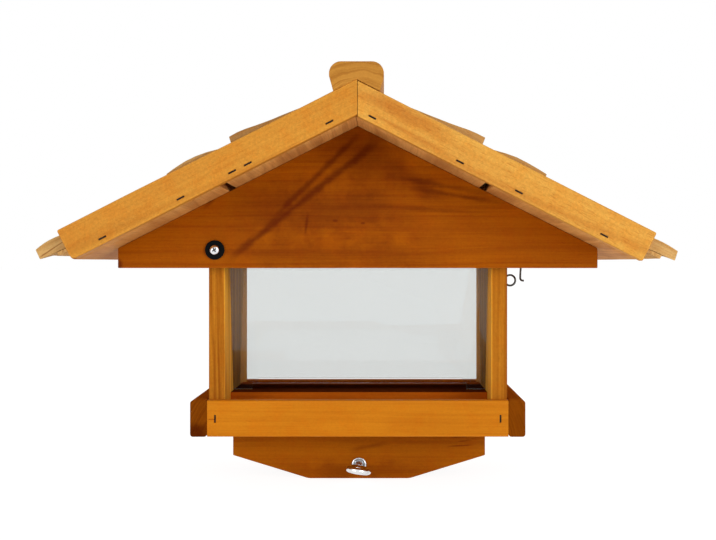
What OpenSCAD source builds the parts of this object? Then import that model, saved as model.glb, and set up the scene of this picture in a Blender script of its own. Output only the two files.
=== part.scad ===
// Roofed hopper bird feeder: a shallow tray, a seed hopper with two clear panes between
// two side walls, and a shingle roof that turns on two screws through its gables.
// x runs to the right, y from front to back and z up. The keels stand on z = 0 and the
// middle of the tray lies over the origin. All sizes are in millimetres and degrees.

/* [Tray] */
// Outside width of the tray
tray_w = 268.5; // [240:0.5:300]
// Outside depth of the tray
tray_d = 222; // [204:1:250]
// Height of the four rails
rail_h = 29.2; // [22:0.2:40]
// Thickness of the four rails
rail_t = 13.5; // [10:0.5:18]
// Radius of the rails' long edges
rail_round = 1.5; // [0.5:0.25:3]
// Thickness of the tray's floor board
floor_t = 9; // [7:0.5:12]

/* [Keels and post socket] */
// Length of each keel
keel_w = 212; // [180:1:230]
// Height of the keels, from the ground to the tray
keel_h = 42; // [36:1:60]
// Thickness of each keel
keel_t = 18; // [14:1:22]
// Height of a keel's upright ends
keel_end_h = 22.5; // [10:0.5:26]
// Length of a keel's flat foot
keel_foot_w = 85; // [74:1:110]
// Diameter of the post that the socket takes
post_d = 35; // [28:0.5:38]
// Clearance round the post
post_gap = 0.4; // [0.2:0.1:1]
// Wood left between the post and the faces of the socket block
socket_wall = 14.2; // [10:0.2:18]
// Height of the socket block's underside above the ground
socket_lift = 1; // [0.5:0.25:3]

/* [Clamp bolt] */
// Height of the clamp bolt's axis above the ground
bolt_z = 11.5; // [11.2:0.1:15]
// Diameter of the clamp bolt's shank
bolt_d = 6; // [5:0.5:8]
// Running clearance round the clamp bolt in its sleeve
bolt_gap = 0.06; // [0.02:0.02:0.1]
// Shank left showing between the keel and the bolt's ring
bolt_neck = 20; // [14:1:28]
// Distance from the bolt ring's centre to the middle of its rod
ring_r = 8; // [7.5:0.1:8.2]
// Diameter of the rod that the bolt's ring is bent from
ring_rod_d = 5.5; // [4:0.25:5.5]
// Turn of the bolt's ring about its shank at rest
ring_roll = 9; // [0:1:20]
// Outside diameter of the bolt's sleeve
sleeve_d = 12.4; // [11:0.2:15]
// Diameter of the recess in the mouth of the sleeve
sleeve_mouth_d = 9; // [8.6:0.1:10]
// Depth of the recess in the mouth of the sleeve
sleeve_mouth_t = 2; // [1:0.25:4]
// Distance of the clamp bolt's tip from the socket's bore when it is slack
bolt_back = 0.8; // [0.4:0.1:3]

/* [Walls and hopper] */
// Thickness of the side walls
wall_t = 13; // [11:0.5:16]
// Height of the right wall's outer edge above the floor board
wall_h = 178; // [160:1:200]
// Height of the hopper's raised base
base_h = 22; // [16:1:30]
// Depth of the hopper's raised base, from front to back
base_d = 107; // [94:1:120]
// Thickness of the clear panes
pane_t = 2; // [1.5:0.25:3]
// Lean of the panes from upright
pane_lean = 17; // [12:0.5:20]
// Distance of each pane's foot from the middle
pane_foot_y = 28.5; // [24:0.5:36]
// Clearance of a pane in its grooves
pane_gap = 0.2; // [0.1:0.05:0.4]
// Depth of the pane grooves in the walls
groove_t = 4; // [3:0.25:6]
// Depth of the panes' tops below the left wall's top
pane_drop = 4; // [2:0.5:10]
// Height of the feed slot under each pane
slot_h = 5.5; // [4:0.5:10]
// Width of the pane's foot that shows at each end of the feed slot
slot_foot_w = 16; // [10:1:25]

/* [Roof boards] */
// Slope of the roof
pitch = 27; // [24:0.5:30]
// Length of the roof from the front rakes' faces to the rear ones'
roof_l = 396; // [360:2:430]
// Length of each slope, from the ridge to the square ends of the rakes
slope_l = 241; // [230:1:250]
// Thickness of the sheathing boards
sheath_t = 8.5; // [7:0.5:11]
// Width of the upper sheathing boards
sheath_upper_w = 113.5; // [80:0.5:120]
// Gap between the sheathing boards of a slope
sheath_gap = 6; // [2:0.5:10]
// Reach of the sheathing beyond the rakes' ends
sheath_over = 2; // [0:0.5:4]
// Thickness of the rakes
rake_t = 13; // [10:0.5:18]
// Width of the rakes, square to the slope
rake_w = 23.8; // [20:0.2:30]
// Radius of the rakes' long edges
rake_round = 1.2; // [0.5:0.1:2.5]
// Gap in the mitre between two rakes
mitre_gap = 0.4; // [0.2:0.1:1]
// Width of the gable boards
gable_w = 384; // [350:2:390]
// Thickness of the gable boards
gable_t = 13.5; // [11:0.5:16]
// Height of the gables' upright ends
gable_end_h = 16; // [10:1:22]

/* [Shingles and ridge] */
// Thickness of the starter strip at its lower edge
starter_t = 3.2; // [3:0.2:6]
// Width of the starter strip
starter_w = 30; // [22:1:34]
// Reach of the starter strip beyond the rakes' ends
starter_over = 9.5; // [4:0.5:12]
// Reach of the first course beyond the rakes' ends
eave_over = 25; // [15:0.5:28]
// Thickness of the first course at its butt
first_t = 6.6; // [4:0.2:8]
// Length of each course that shows
exposure = 57.5; // [50:0.5:60]
// Rise of the butts from one course to the next, square to the slope
course_rise = 3.4; // [2:0.05:4]
// Angle between a shingle and the roof's slope
shingle_tilt = 5; // [4.5:0.1:6]
// Clearance between one course and the next, as sawn and split wood has
course_gap = 0.15; // [0.1:0.05:0.3]
// Distance of the upper ends of the top courses from the ridge
ridge_margin = 4; // [3:0.5:8]
// Radius on the shingles' butts
butt_round = 1.8; // [0.8:0.1:2.4]
// Shingles in each course
shingles = 5; // [4:1:6]
// Gap between neighbouring shingles
shingle_gap = 1.2; // [0.6:0.1:3]
// Widest part of the ridge cap
cap_w = 41; // [36:0.5:46]
// Width of the ridge cap at its feet
cap_foot_w = 34.8; // [30:0.2:36]
// Height of the ridge cap above the rakes' peak
cap_h = 13.5; // [12:0.5:20]
// Depth of the ridge cap's widest line below its top
cap_side_h = 11; // [8:0.5:12]
// Radius of the ridge cap's top corners
cap_round = 9; // [3:0.5:10]

/* [Hinge] */
// Height of the roof's underside straight above the hinge
pivot_drop = 41; // [36:1:46]
// Clearance of the left wall's top from the turning roof
swing_gap = 2; // [1.2:0.2:4]
// Face clearance between the gables and the walls, and under the roof's seat
face_gap = 0.3; // [0.2:0.05:0.5]
// Diameter of the pivot screws' shanks
pivot_d = 4; // [3:0.25:5]
// Running clearance round the pivot screws in the gables
pivot_gap = 0.06; // [0.02:0.02:0.1]
// Depth of the pivot screws in the walls
pivot_bite = 25; // [18:1:35]
// Diameter of the pivot screws' heads
head_d = 8; // [7:0.25:9.5]
// Height of the pivot screws' heads
head_h = 3; // [2:0.25:4]
// Diameter of the pivot washers
washer_d = 15.6; // [12:0.2:20]
// Thickness of the pivot washers
washer_t = 2; // [1:0.25:3]

/* [Hook and eyes] */
// Diameter of the wire of the hook and both eyes
wire_d = 1.8; // [1.4:0.1:2]
// Distance from an eye's centre to the middle of its wire
eye_r = 4.6; // [4.4:0.1:5.2]
// Height of the wall eye's centre above the floor board
wall_eye_h = 115; // [100:1:118]
// Length of the wall eye's shank outside the wood
wall_eye_neck = 5; // [3:0.5:7]
// Distance of the hook from the right wall
hook_out = 20.5; // [19:0.5:24]
// Length of the roof eye's shank outside the wood
roof_eye_neck = 4; // [3:0.5:6]
// Depth of the roof eye's shank in the sheathing
roof_eye_bite = 6; // [4:0.5:6.5]
// Depth of the wall eye's shank in the wall
wall_eye_bite = 9; // [6:0.5:10]
// Clearance between the hook's ring and the roof eye where it hangs
hang_gap = 0.3; // [0.2:0.05:0.5]
// Inside radius of the hook's ring
hook_ring_in = 2; // [1.6:0.1:2.2]
// Distance from the middle of the roof eye's wire to the bottom of the hook
hook_l = 40; // [34:1:44]
// Bend radius of the hook's toe
hook_bend = 2.2; // [1.8:0.1:3]
// Length of the hook's toe beyond its bend
hook_toe = 1.6; // [1:0.1:4]
// Distance between the planes of the hook and the wall eye
latch_offset = 4; // [3:0.5:6]

/* [Fasteners] */
// Diameter of the wood screws' shanks
screw_d = 4; // [3:0.25:4.5]
// Diameter of the wood screws' countersunk heads
screw_head_d = 7.6; // [6:0.2:9]
// Height of the wood screws' heads
screw_head_h = 2.4; // [1.8:0.2:3]
// Length of the wood screws
screw_l = 29; // [24:1:32]
// Distance of the keel screws from the middle
keel_screw_x = 70; // [50:1:80]
// Distance of the socket screws from the middle, both ways
socket_screw_xy = 25; // [23:0.5:26]
// Distance of the wall screws from the middle
wall_screw_y = 60; // [45:1:80]
// Distance of the base screws from the middle
base_screw_x = 88; // [60:1:95]
// Length of the staples' crowns
staple_w = 6; // [5:0.5:8]
// Length of the staples' legs
staple_leg = 20; // [17:1:24]
// Width of the staples' wire
staple_wire_w = 1.2; // [0.8:0.1:1.6]
// Thickness of the staples' wire
staple_wire_t = 0.7; // [0.5:0.05:1]
// Depth of the staples' crowns below the wood's face
staple_sink = 0.3; // [0.1:0.1:0.8]
// Height of the rail staples' middles above the rails' lower edges
rail_staple_h = 14.5; // [13:0.5:17]
// Diameter of the sheathing nails
nail_d = 1.8; // [1.4:0.1:2.4]
// Diameter of the sheathing nails' heads
nail_head_d = 4; // [3:0.25:5]
// Thickness of the sheathing nails' heads
nail_head_t = 0.9; // [0.6:0.1:1.4]
// Length of the sheathing nails
nail_l = 24; // [18:1:30]
// Distance of the nails from the edges of a sheathing board
nail_edge = 24; // [14:1:30]

/* [Hidden] */
$fn = 48;

// Colours of the woods, metals and the panes
honey_wood = [0.84, 0.57, 0.23];
orange_wood = [0.80, 0.48, 0.10];
shaded_wood = [0.58, 0.30, 0.04];
end_wood = [0.42, 0.19, 0.04];
cap_wood = [0.74, 0.52, 0.23];
shingle_wood = [0.87, 0.72, 0.50];
bright_metal = [0.83, 0.84, 0.85];
dark_metal = [0.16, 0.15, 0.14];
black_rubber = [0.07, 0.08, 0.09];
clear_pane = [0.86, 0.89, 0.90, 0.35];

// A cut runs past the face it opens in by this much
cut = 1;
// Turns that send a part built for the front round to the rear
FRONT = 0;
REAR = 180;
RIGHT = 1;
LEFT = -1;

// Heights and half widths that follow from the tray
half_w = tray_w / 2 - rail_t;
half_d = tray_d / 2 - rail_t;
floor_top = keel_h + floor_t;
base_top = floor_top + base_h;
wall_in = half_w - wall_t;
wall_mid = half_w - wall_t / 2;

// Roof planes: the peak of the sheathing's underside, and of its top, on x = 0
under_peak = floor_top + wall_h + face_gap + half_w * tan(pitch);
ridge_z = under_peak + sheath_t / cos(pitch);
rake_rise = rake_w - sheath_t;
rake_peak = ridge_z + rake_rise / cos(pitch);
inner_l = roof_l / 2 - rake_t;

// Hinge
pivot_z = under_peak - wall_mid * tan(pitch) - pivot_drop;
pivot_r = pivot_drop * cos(pitch);
left_wall_top = pivot_z + sqrt(pow(pivot_r - swing_gap, 2) - pow(wall_t / 2, 2));
gable_y = half_d + face_gap;
gable_foot = under_peak - gable_w / 2 * tan(pitch) - gable_end_h;

// Panes
pane_top = left_wall_top - pane_drop;
pane_l = (pane_top - base_top) / cos(pane_lean);
pane_w = 2 * (wall_in + groove_t - 2 * pane_gap);

// Keels and bolt
socket_half = post_d / 2 + post_gap + socket_wall;
keel_y = socket_half + keel_t / 2;
keel_face = socket_half + keel_t;
bolt_tip = post_d / 2 + post_gap + bolt_back;

// Shingles
tilt = tan(shingle_tilt);
first_top = starter_t + (eave_over - starter_over) * tilt + course_gap + first_t;
course_t = course_rise + exposure * tilt - course_gap;
starter_end = slope_l + starter_over;

// Hook
hook_x = half_w + hook_out;
roof_under_hook = under_peak - hook_x * tan(pitch);
roof_eye_z = roof_under_hook - roof_eye_neck - eye_r - wire_d / 2;
hook_axis_z = roof_eye_z - eye_r;
hook_ring_r = hook_ring_in + wire_d / 2;
hook_ring_z = hook_axis_z - (hook_ring_in - wire_d / 2 - hang_gap);
wall_eye_z = floor_top + wall_eye_h;
wall_eye_x = half_w + wall_eye_neck + eye_r + wire_d / 2;

// Places of the rake staples down each slope, from the ridge
left_staples = [24, 92, 105, 148, 213];
right_staples = [16, 89, 138, 209];

// A point of the roof's cross-section: d down the slope, w square to the sheathing's top
function slope_x(d, w) = d * cos(pitch) + w * sin(pitch);
function slope_z(d, w) = ridge_z - d * sin(pitch) + w * cos(pitch);
function slope_point(d, w) = [slope_x(d, w), slope_z(d, w)];
// Where the height w above the sheathing meets the mitre beside x = 0
function mitre_d(w) = (mitre_gap / 2 - w * sin(pitch)) / cos(pitch);

// Butt, top height and surface of a course, with course 1 at the eave
function butt_d(course) = slope_l + eave_over - (course - 1) * exposure;
function butt_w(course) = first_top + (course - 1) * course_rise;
function course_depth(course) = course == 1 ? first_t : course_t;
function course_top(course, d) = butt_w(course) - (butt_d(course) - d) * tilt;
function course_under(course, d) = course_top(course, d) - course_depth(course);
function course_end(course) =
    max(ridge_margin, butt_d(course) - (butt_w(course) - course_depth(course)) / tilt);
// Edge number i of a course's shingles along y, uneven as split wood is
function shingle_edge(course, i) =
    -inner_l + 2 * inner_l * (i + (i == 0 || i == shingles ? 0 : 0.2 * sin(137 * i + 71 * course)))
    / shingles;

// Extrudes a cross-section drawn in x and z along y, from y0 to y1
module along_y(y0, y1) {
    translate([0, y1, 0])
        rotate([90, 0, 0])
            linear_extrude(y1 - y0)
                children();
}

// Draws the children on the right or left half
module on_side(side) {
    mirror([side == LEFT ? 1 : 0, 0, 0])
        children();
}

// Frame of a slope: x down the slope, z square to the sheathing's top face
module on_slope(side) {
    on_side(side)
        translate([0, 0, ridge_z])
            rotate([0, pitch, 0])
                children();
}

// A rectangle with round corners, centred
module round_rect(w, h, r) {
    square([w - 2 * r, h], center = true);
    square([w, h - 2 * r], center = true);
    for (x = [-1, 1], y = [-1, 1])
        translate([x * (w / 2 - r), y * (h / 2 - r)])
            circle(r);
}

// A ring of round rod in the x y plane
module rod_ring(middle_r, rod_r) {
    rotate_extrude()
        translate([middle_r, 0])
            circle(rod_r, $fn = 24);
}

// A countersunk wood screw with its head's face at z = 0, pointing down. Without its
// recess it is the hole for the screw, which runs past the face that it opens in.
module wood_screw(recess) {
    point_h = screw_d;
    difference() {
        union() {
            translate([0, 0, -screw_head_h])
                cylinder(h = screw_head_h, d1 = screw_d, d2 = screw_head_d);
            translate([0, 0, point_h - screw_l])
                cylinder(h = screw_l - point_h, d = screw_d);
            translate([0, 0, -screw_l])
                cylinder(h = point_h, d1 = 0.6, d2 = screw_d);
            if (!recess)
                translate([0, 0, -cut / 4])
                    cylinder(h = cut, d = screw_head_d);
        }
        if (recess) cross_recess(screw_head_d * 0.55, screw_head_h * 0.6);
    }
}

// The cross slot of a screw head, sunk from z = 0
module cross_recess(w, depth) {
    arm_w = w * 0.24;
    for (turn = [0, 90])
        rotate([0, 0, turn])
            translate([-w / 2, -arm_w / 2, -depth])
                cube([w, arm_w, depth + cut]);
}

// A staple with its crown's face at z = 0 and its legs pointing down
module staple() {
    leg_x = staple_w / 2 - staple_wire_t;
    translate([-staple_w / 2, -staple_wire_w / 2, -staple_wire_t])
        cube([staple_w, staple_wire_w, staple_wire_t]);
    for (side = [-1, 1])
        translate([side * leg_x - (side < 0 ? staple_wire_t : 0), -staple_wire_w / 2, -staple_leg])
            cube([staple_wire_t, staple_wire_w, staple_leg]);
}

// The room that a staple and its sunk crown take in the wood
module staple_hole() {
    staple();
    translate([-staple_w / 2, -staple_wire_w / 2, -cut / 2])
        cube([staple_w, staple_wire_w, staple_sink + cut]);
}

// Tray

module tray_floor() {
    color(shaded_wood)
        difference() {
            translate([-half_w, -half_d, keel_h])
                cube([2 * half_w, 2 * half_d, floor_t]);
            floor_screw_set(false);
            underside_screw_set(false);
        }
}

// A rail along x, with its outer face at y = -tray_d / 2
module cross_rail() {
    difference() {
        translate([-half_w, -tray_d / 2 + rail_t / 2, keel_h + rail_h / 2])
            rotate([90, 0, 90])
                linear_extrude(2 * half_w)
                    round_rect(rail_t, rail_h, rail_round);
        rail_staple_set() staple_hole();
    }
}

// A rail along y on the right side, running the whole depth
module side_rail() {
    translate([half_w + rail_t / 2, tray_d / 2, keel_h + rail_h / 2])
        rotate([90, 0, 0])
            linear_extrude(tray_d)
                round_rect(rail_t, rail_h, rail_round);
}

module front_rail() {
    color(orange_wood) cross_rail();
}

module rear_rail() {
    color(orange_wood) rotate([0, 0, REAR]) cross_rail();
}

module left_rail() {
    color(end_wood) on_side(LEFT) side_rail();
}

module right_rail() {
    color(end_wood) on_side(RIGHT) side_rail();
}

module hopper_base() {
    color(shaded_wood)
        difference() {
            translate([-wall_in, -base_d / 2, floor_top])
                cube([2 * wall_in, base_d, base_h]);
            underside_screw_set(false);
        }
}

// Places the front rail's two staples, one into each wall's end
module rail_staple_set() {
    for (side = [LEFT, RIGHT])
        translate([side * wall_mid, -tray_d / 2 + staple_sink, keel_h + rail_staple_h])
            rotate([90, 90, 0])
                children();
}

module rail_staples() {
    color(dark_metal)
        for (turn = [FRONT, REAR])
            rotate([0, 0, turn])
                rail_staple_set() staple();
}

// Screws down through the floor board into the keels and the socket block
module floor_screw_set(recess) {
    for (x = [-1, 1], y = [-1, 1])
        translate([x * keel_screw_x, y * keel_y, floor_top])
            wood_screw(recess);
    for (side = [-1, 1])
        translate([side * socket_screw_xy, side * socket_screw_xy, floor_top])
            wood_screw(recess);
}

module floor_screws() {
    color(bright_metal) floor_screw_set(true);
}

// Screws up through the floor board into the walls and the hopper base
module underside_screw_set(recess) {
    for (x = [-1, 1], y = [-1, 1])
        translate([x * wall_mid, y * wall_screw_y, keel_h])
            mirror([0, 0, 1])
                wood_screw(recess);
    for (x = [-1, 1])
        translate([x * base_screw_x, 0, keel_h])
            mirror([0, 0, 1])
                wood_screw(recess);
}

module underside_screws() {
    color(bright_metal) underside_screw_set(true);
}

// Keels, post socket and clamp bolt

// A keel with its outer face at y = -keel_face
module keel() {
    difference() {
        along_y(-keel_face, -socket_half)
            polygon([
                [-keel_w / 2, keel_h],
                [-keel_w / 2, keel_h - keel_end_h],
                [-keel_foot_w / 2, 0],
                [keel_foot_w / 2, 0],
                [keel_w / 2, keel_h - keel_end_h],
                [keel_w / 2, keel_h]
            ]);
        floor_screw_set(false);
    }
}

module front_keel() {
    color(shaded_wood)
        difference() {
            keel();
            translate([0, -socket_half + cut, bolt_z])
                rotate([90, 0, 0])
                    cylinder(h = keel_t + 2 * cut, d = sleeve_d);
        }
}

module rear_keel() {
    color(shaded_wood) rotate([0, 0, REAR]) keel();
}

module socket_block() {
    bolt_hole_d = bolt_d + 1;
    color(shaded_wood)
        difference() {
            translate([-socket_half, -socket_half, socket_lift])
                cube([2 * socket_half, 2 * socket_half, keel_h - socket_lift]);
            cylinder(h = keel_h + cut, r = post_d / 2 + post_gap);
            translate([0, 0, bolt_z])
                rotate([90, 0, 0])
                    cylinder(h = socket_half + cut, d = bolt_hole_d);
            floor_screw_set(false);
        }
}

module clamp_sleeve() {
    color(bright_metal)
        translate([0, -socket_half, bolt_z])
            rotate([90, 0, 0])
                difference() {
                    cylinder(h = keel_t, d = sleeve_d);
                    translate([0, 0, -cut])
                        cylinder(h = keel_t + 2 * cut, r = bolt_d / 2 + bolt_gap);
                    translate([0, 0, keel_t - sleeve_mouth_t])
                        cylinder(h = sleeve_mouth_t + cut, d = sleeve_mouth_d);
                }
}

module clamp_bolt() {
    ring_y = keel_face + bolt_neck + ring_r + ring_rod_d / 2;
    shank_l = ring_y - ring_r - bolt_tip;
    color(bright_metal)
        translate([0, 0, bolt_z])
            rotate([0, ring_roll, 0]) {
                translate([0, -bolt_tip, 0])
                    rotate([90, 0, 0])
                        cylinder(h = shank_l, d = bolt_d);
                translate([0, -ring_y, 0])
                    rod_ring(ring_r, ring_rod_d / 2);
            }
}

// Walls and panes

// Places a slab that leans with the front pane, with its foot on the hopper base
module pane_slab(w, extra_t, foot, top) {
    translate([0, -pane_foot_y, base_top])
        rotate([pane_lean, 0, 0])
            translate([-w / 2, -extra_t, foot])
                cube([w, pane_t + 2 * extra_t, top - foot]);
}

// The upright board of a wall on the right side, up to the given height
module wall_board(top) {
    edge_r = 0.8;
    translate([wall_mid, 0, floor_top])
        linear_extrude(top - floor_top)
            round_rect(wall_t, 2 * half_d, edge_r);
}

// The room of the pivot screws' shanks in a wall on the right side
module pivot_holes() {
    for (turn = [-1, 1])
        translate([wall_mid, turn * (half_d + cut), pivot_z])
            rotate([turn * 90, 0, 0])
                cylinder(h = pivot_bite + cut, d = pivot_d);
}

module left_wall() {
    color(shaded_wood)
        difference() {
            on_side(LEFT)
                difference() {
                    wall_board(left_wall_top);
                    both_grooves();
                    pivot_holes();
                }
            underside_screw_set(false);
            wall_staple_holes();
        }
}

module right_wall() {
    color(shaded_wood)
        difference() {
            on_side(RIGHT)
                difference() {
                    wall_board(under_peak);
                    both_grooves();
                    roof_seat();
                }
            underside_screw_set(false);
            wall_staple_holes();
            wall_eye_shape();
        }
}

// All that lies above the underside of the right slope, less the seat's clearance
module roof_seat() {
    along_y(-half_d - cut, half_d + cut)
        polygon([
            [0, under_peak - face_gap],
            [tray_w, under_peak - face_gap - tray_w * tan(pitch)],
            [tray_w, under_peak + tray_w],
            [0, under_peak + tray_w]
        ]);
}

// Both pane grooves of a wall on the right side, open at the wall's top
module both_grooves() {
    for (turn = [FRONT, REAR])
        mirror([0, turn == REAR ? 1 : 0, 0])
            intersection() {
                pane_slab(2 * (wall_in + groove_t), pane_gap, -cut, 2 * pane_l);
                translate([0, -tray_d, base_top - cut / 2])
                    cube([tray_w, 2 * tray_d, 2 * wall_h]);
            }
}

module wall_staple_holes() {
    for (turn = [FRONT, REAR])
        rotate([0, 0, turn])
            rail_staple_set() staple();
}

// A pane with its feed slot, standing at the front
module pane() {
    slot_w = 2 * (wall_in - slot_foot_w);
    difference() {
        pane_slab(pane_w, 0, 0, pane_l);
        pane_slab(slot_w, cut, -cut, slot_h);
    }
}

module front_pane() {
    color(clear_pane) pane();
}

module rear_pane() {
    color(clear_pane) rotate([0, 0, REAR]) pane();
}

// Hinge screws

// Places the children on the front hinge axis, with z towards the viewer
module on_front_pivot() {
    translate([-wall_mid, 0, pivot_z])
        rotate([90, 0, 0])
            children();
}

// A pivot screw, with z = 0 in the middle plane of the house
module pivot_screw() {
    face = gable_y + gable_t + face_gap + washer_t;
    difference() {
        union() {
            translate([0, 0, half_d - pivot_bite])
                cylinder(h = face - half_d + pivot_bite, d = pivot_d);
            translate([0, 0, face])
                cylinder(h = head_h * 0.4, d = head_d);
            translate([0, 0, face + head_h * 0.4])
                cylinder(h = head_h * 0.6, d1 = head_d, d2 = head_d * 0.72);
        }
        translate([0, 0, face + head_h])
            cross_recess(head_d * 0.55, head_h * 0.6);
    }
}

module pivot_washer() {
    translate([0, 0, gable_y + gable_t + face_gap])
        difference() {
            cylinder(h = washer_t, d = washer_d);
            translate([0, 0, -cut])
                cylinder(h = washer_t + 2 * cut, d = pivot_d);
        }
}

module front_pivot_screw() {
    color(bright_metal) on_front_pivot() pivot_screw();
}

module rear_pivot_screw() {
    color(bright_metal) mirror([0, 1, 0]) on_front_pivot() pivot_screw();
}

module front_pivot_washer() {
    color(black_rubber) on_front_pivot() pivot_washer();
}

module rear_pivot_washer() {
    color(black_rubber) mirror([0, 1, 0]) on_front_pivot() pivot_washer();
}

// Roof boards

// The front gable, between the front faces of the walls and the tray's front plane
module gable() {
    end_top = gable_foot + gable_end_h;
    difference() {
        along_y(-gable_y - gable_t, -gable_y)
            polygon([
                [-gable_w / 2, gable_foot],
                [gable_w / 2, gable_foot],
                [gable_w / 2, end_top],
                [0, under_peak],
                [-gable_w / 2, end_top]
            ]);
        nail_set(cut);
    }
}

// The clearance hole for a pivot screw through a gable
module gable_pivot_hole() {
    translate([0, 0, gable_y - cut])
        cylinder(h = gable_t + 2 * cut, r = pivot_d / 2 + pivot_gap);
}

module front_gable() {
    color(shaded_wood)
        difference() {
            gable();
            on_front_pivot() gable_pivot_hole();
        }
}

module rear_gable() {
    color(shaded_wood)
        mirror([0, 1, 0])
            difference() {
                gable();
                on_front_pivot() gable_pivot_hole();
            }
}

// A board of the right slope between the rakes, from one place down the slope to another
module sheathing_board(from_d, to_d) {
    along_y(-inner_l, inner_l)
        polygon([
            slope_point(from_d > 0 ? from_d : mitre_d(0), 0),
            slope_point(to_d, 0),
            slope_point(to_d, -sheath_t),
            slope_point(from_d > 0 ? from_d : mitre_d(-sheath_t), -sheath_t)
        ]);
}

module upper_sheathing(side) {
    color(shaded_wood)
        difference() {
            on_side(side) sheathing_board(0, sheath_upper_w);
            all_rake_staples() staple();
            nail_set(cut);
        }
}

module lower_sheathing(side) {
    color(shaded_wood)
        difference() {
            on_side(side) sheathing_board(sheath_upper_w + sheath_gap, slope_l + sheath_over);
            all_rake_staples() staple();
            nail_set(cut);
            roof_eye_shape();
        }
}

module left_upper_sheathing() {
    upper_sheathing(LEFT);
}

module left_lower_sheathing() {
    lower_sheathing(LEFT);
}

module right_upper_sheathing() {
    upper_sheathing(RIGHT);
}

module right_lower_sheathing() {
    lower_sheathing(RIGHT);
}

// The nails of one slope, with their heads flush in the sheathing's top, or past it
module slope_nails(past) {
    places = [
        nail_edge, sheath_upper_w - nail_edge,
        sheath_upper_w + sheath_gap + nail_edge, gable_w / 2 / cos(pitch) - nail_edge
    ];
    for (d = places, y = [-1, 1])
        translate([d, y * (gable_y + gable_t / 2), 0]) {
            translate([0, 0, -nail_head_t])
                cylinder(h = nail_head_t + past, d = nail_head_d, $fn = 24);
            translate([0, 0, -nail_l])
                cylinder(h = nail_l, d = nail_d, $fn = 24);
        }
}

module nail_set(past) {
    for (side = [LEFT, RIGHT])
        on_slope(side) slope_nails(past);
}

module sheathing_nails() {
    color(bright_metal) nail_set(0);
}

// A front rake on the given side, mitred at the ridge
module rake(side) {
    difference() {
        intersection() {
            on_slope(side)
                translate([-rake_w, -roof_l / 2 + rake_t / 2, rake_rise - rake_w / 2])
                    rotate([90, 0, 90])
                        linear_extrude(slope_l + rake_w)
                            round_rect(rake_t, rake_w, rake_round);
            on_side(side)
                translate([mitre_gap / 2, -roof_l, 0])
                    cube([tray_w, 2 * roof_l, 2 * ridge_z]);
        }
        all_rake_staples() staple_hole();
    }
}

module front_left_rake() {
    color(honey_wood) rake(LEFT);
}

module front_right_rake() {
    color(honey_wood) rake(RIGHT);
}

module rear_left_rake() {
    color(honey_wood) rotate([0, 0, REAR]) rake(RIGHT);
}

module rear_right_rake() {
    color(honey_wood) rotate([0, 0, REAR]) rake(LEFT);
}

// Places the children as the staples of the front rakes
module front_rake_staples() {
    for (side = [LEFT, RIGHT], d = side == LEFT ? left_staples : right_staples)
        on_slope(side)
            translate([d, -roof_l / 2 + staple_sink, -sheath_t / 2])
                rotate([90, 0, 0])
                    children();
}

module all_rake_staples() {
    for (turn = [FRONT, REAR])
        rotate([0, 0, turn])
            front_rake_staples() children();
}

module rake_staples() {
    color(dark_metal) all_rake_staples() staple();
}

// Shingles and ridge

// The starter strip of the right slope, a wedge under the first course
module starter() {
    start = starter_end - starter_w;
    along_y(-inner_l, inner_l)
        polygon([
            slope_point(start, 0),
            slope_point(starter_end, 0),
            slope_point(starter_end, starter_t),
            slope_point(start, starter_t - starter_w * tilt)
        ]);
}

module left_starter() {
    color(shingle_wood) on_side(LEFT) starter();
}

module right_starter() {
    color(shingle_wood) on_side(RIGHT) starter();
}

// The cross-section of a course of the right slope, with a round butt
module course_outline(course) {
    d0 = course_end(course);
    d1 = butt_d(course);
    r = butt_round;
    arc = [for (a = [90:-15:0])
        slope_point(d1 - r + r * cos(a), course_top(course, d1) - r + r * sin(a))];
    polygon(concat(arc, [
        slope_point(d1, course_under(course, d1)),
        slope_point(d0, course_under(course, d0)),
        slope_point(d0, course_top(course, d0))
    ]));
}

module shingle_course(side, course) {
    shift = side == LEFT ? 0 : 4;
    color(shingle_wood)
        on_side(side)
            for (i = [0:shingles - 1])
                along_y(
                    shingle_edge(course + shift, i) + (i == 0 ? 0 : shingle_gap / 2),
                    shingle_edge(course + shift, i + 1) - (i == shingles - 1 ? 0 : shingle_gap / 2)
                )
                    course_outline(course);
}

module left_course_1() {
    shingle_course(LEFT, 1);
}

module left_course_2() {
    shingle_course(LEFT, 2);
}

module left_course_3() {
    shingle_course(LEFT, 3);
}

module left_course_4() {
    shingle_course(LEFT, 4);
}

module right_course_1() {
    shingle_course(RIGHT, 1);
}

module right_course_2() {
    shingle_course(RIGHT, 2);
}

module right_course_3() {
    shingle_course(RIGHT, 3);
}

module right_course_4() {
    shingle_course(RIGHT, 4);
}

// The capping beam: round at its top corners and notched to sit on the rakes
module ridge_cap() {
    top = rake_peak + cap_h;
    side_z = top - cap_side_h;
    foot_z = rake_peak - cap_foot_w / 2 * tan(pitch);
    color(cap_wood)
        along_y(-roof_l / 2, roof_l / 2) {
            polygon([
                [0, rake_peak],
                [cap_foot_w / 2, foot_z],
                [cap_w / 2, side_z],
                [cap_w / 2, top - cap_round],
                [cap_w / 2 - cap_round, top],
                [-cap_w / 2 + cap_round, top],
                [-cap_w / 2, top - cap_round],
                [-cap_w / 2, side_z],
                [-cap_foot_w / 2, foot_z]
            ]);
            for (side = [-1, 1])
                translate([side * (cap_w / 2 - cap_round), top - cap_round])
                    circle(cap_round);
        }
}

// Hook and eyes

// The wall eye's ring and shank
module wall_eye_shape() {
    translate([wall_eye_x, 0, wall_eye_z]) {
        rotate([90, 0, 0])
            rod_ring(eye_r, wire_d / 2);
        translate([-eye_r, 0, 0])
            rotate([0, -90, 0])
                cylinder(h = wall_eye_bite + wall_eye_neck + wire_d / 2, d = wire_d, $fn = 24);
    }
}

module wall_eye() {
    color(dark_metal) wall_eye_shape();
}

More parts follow.
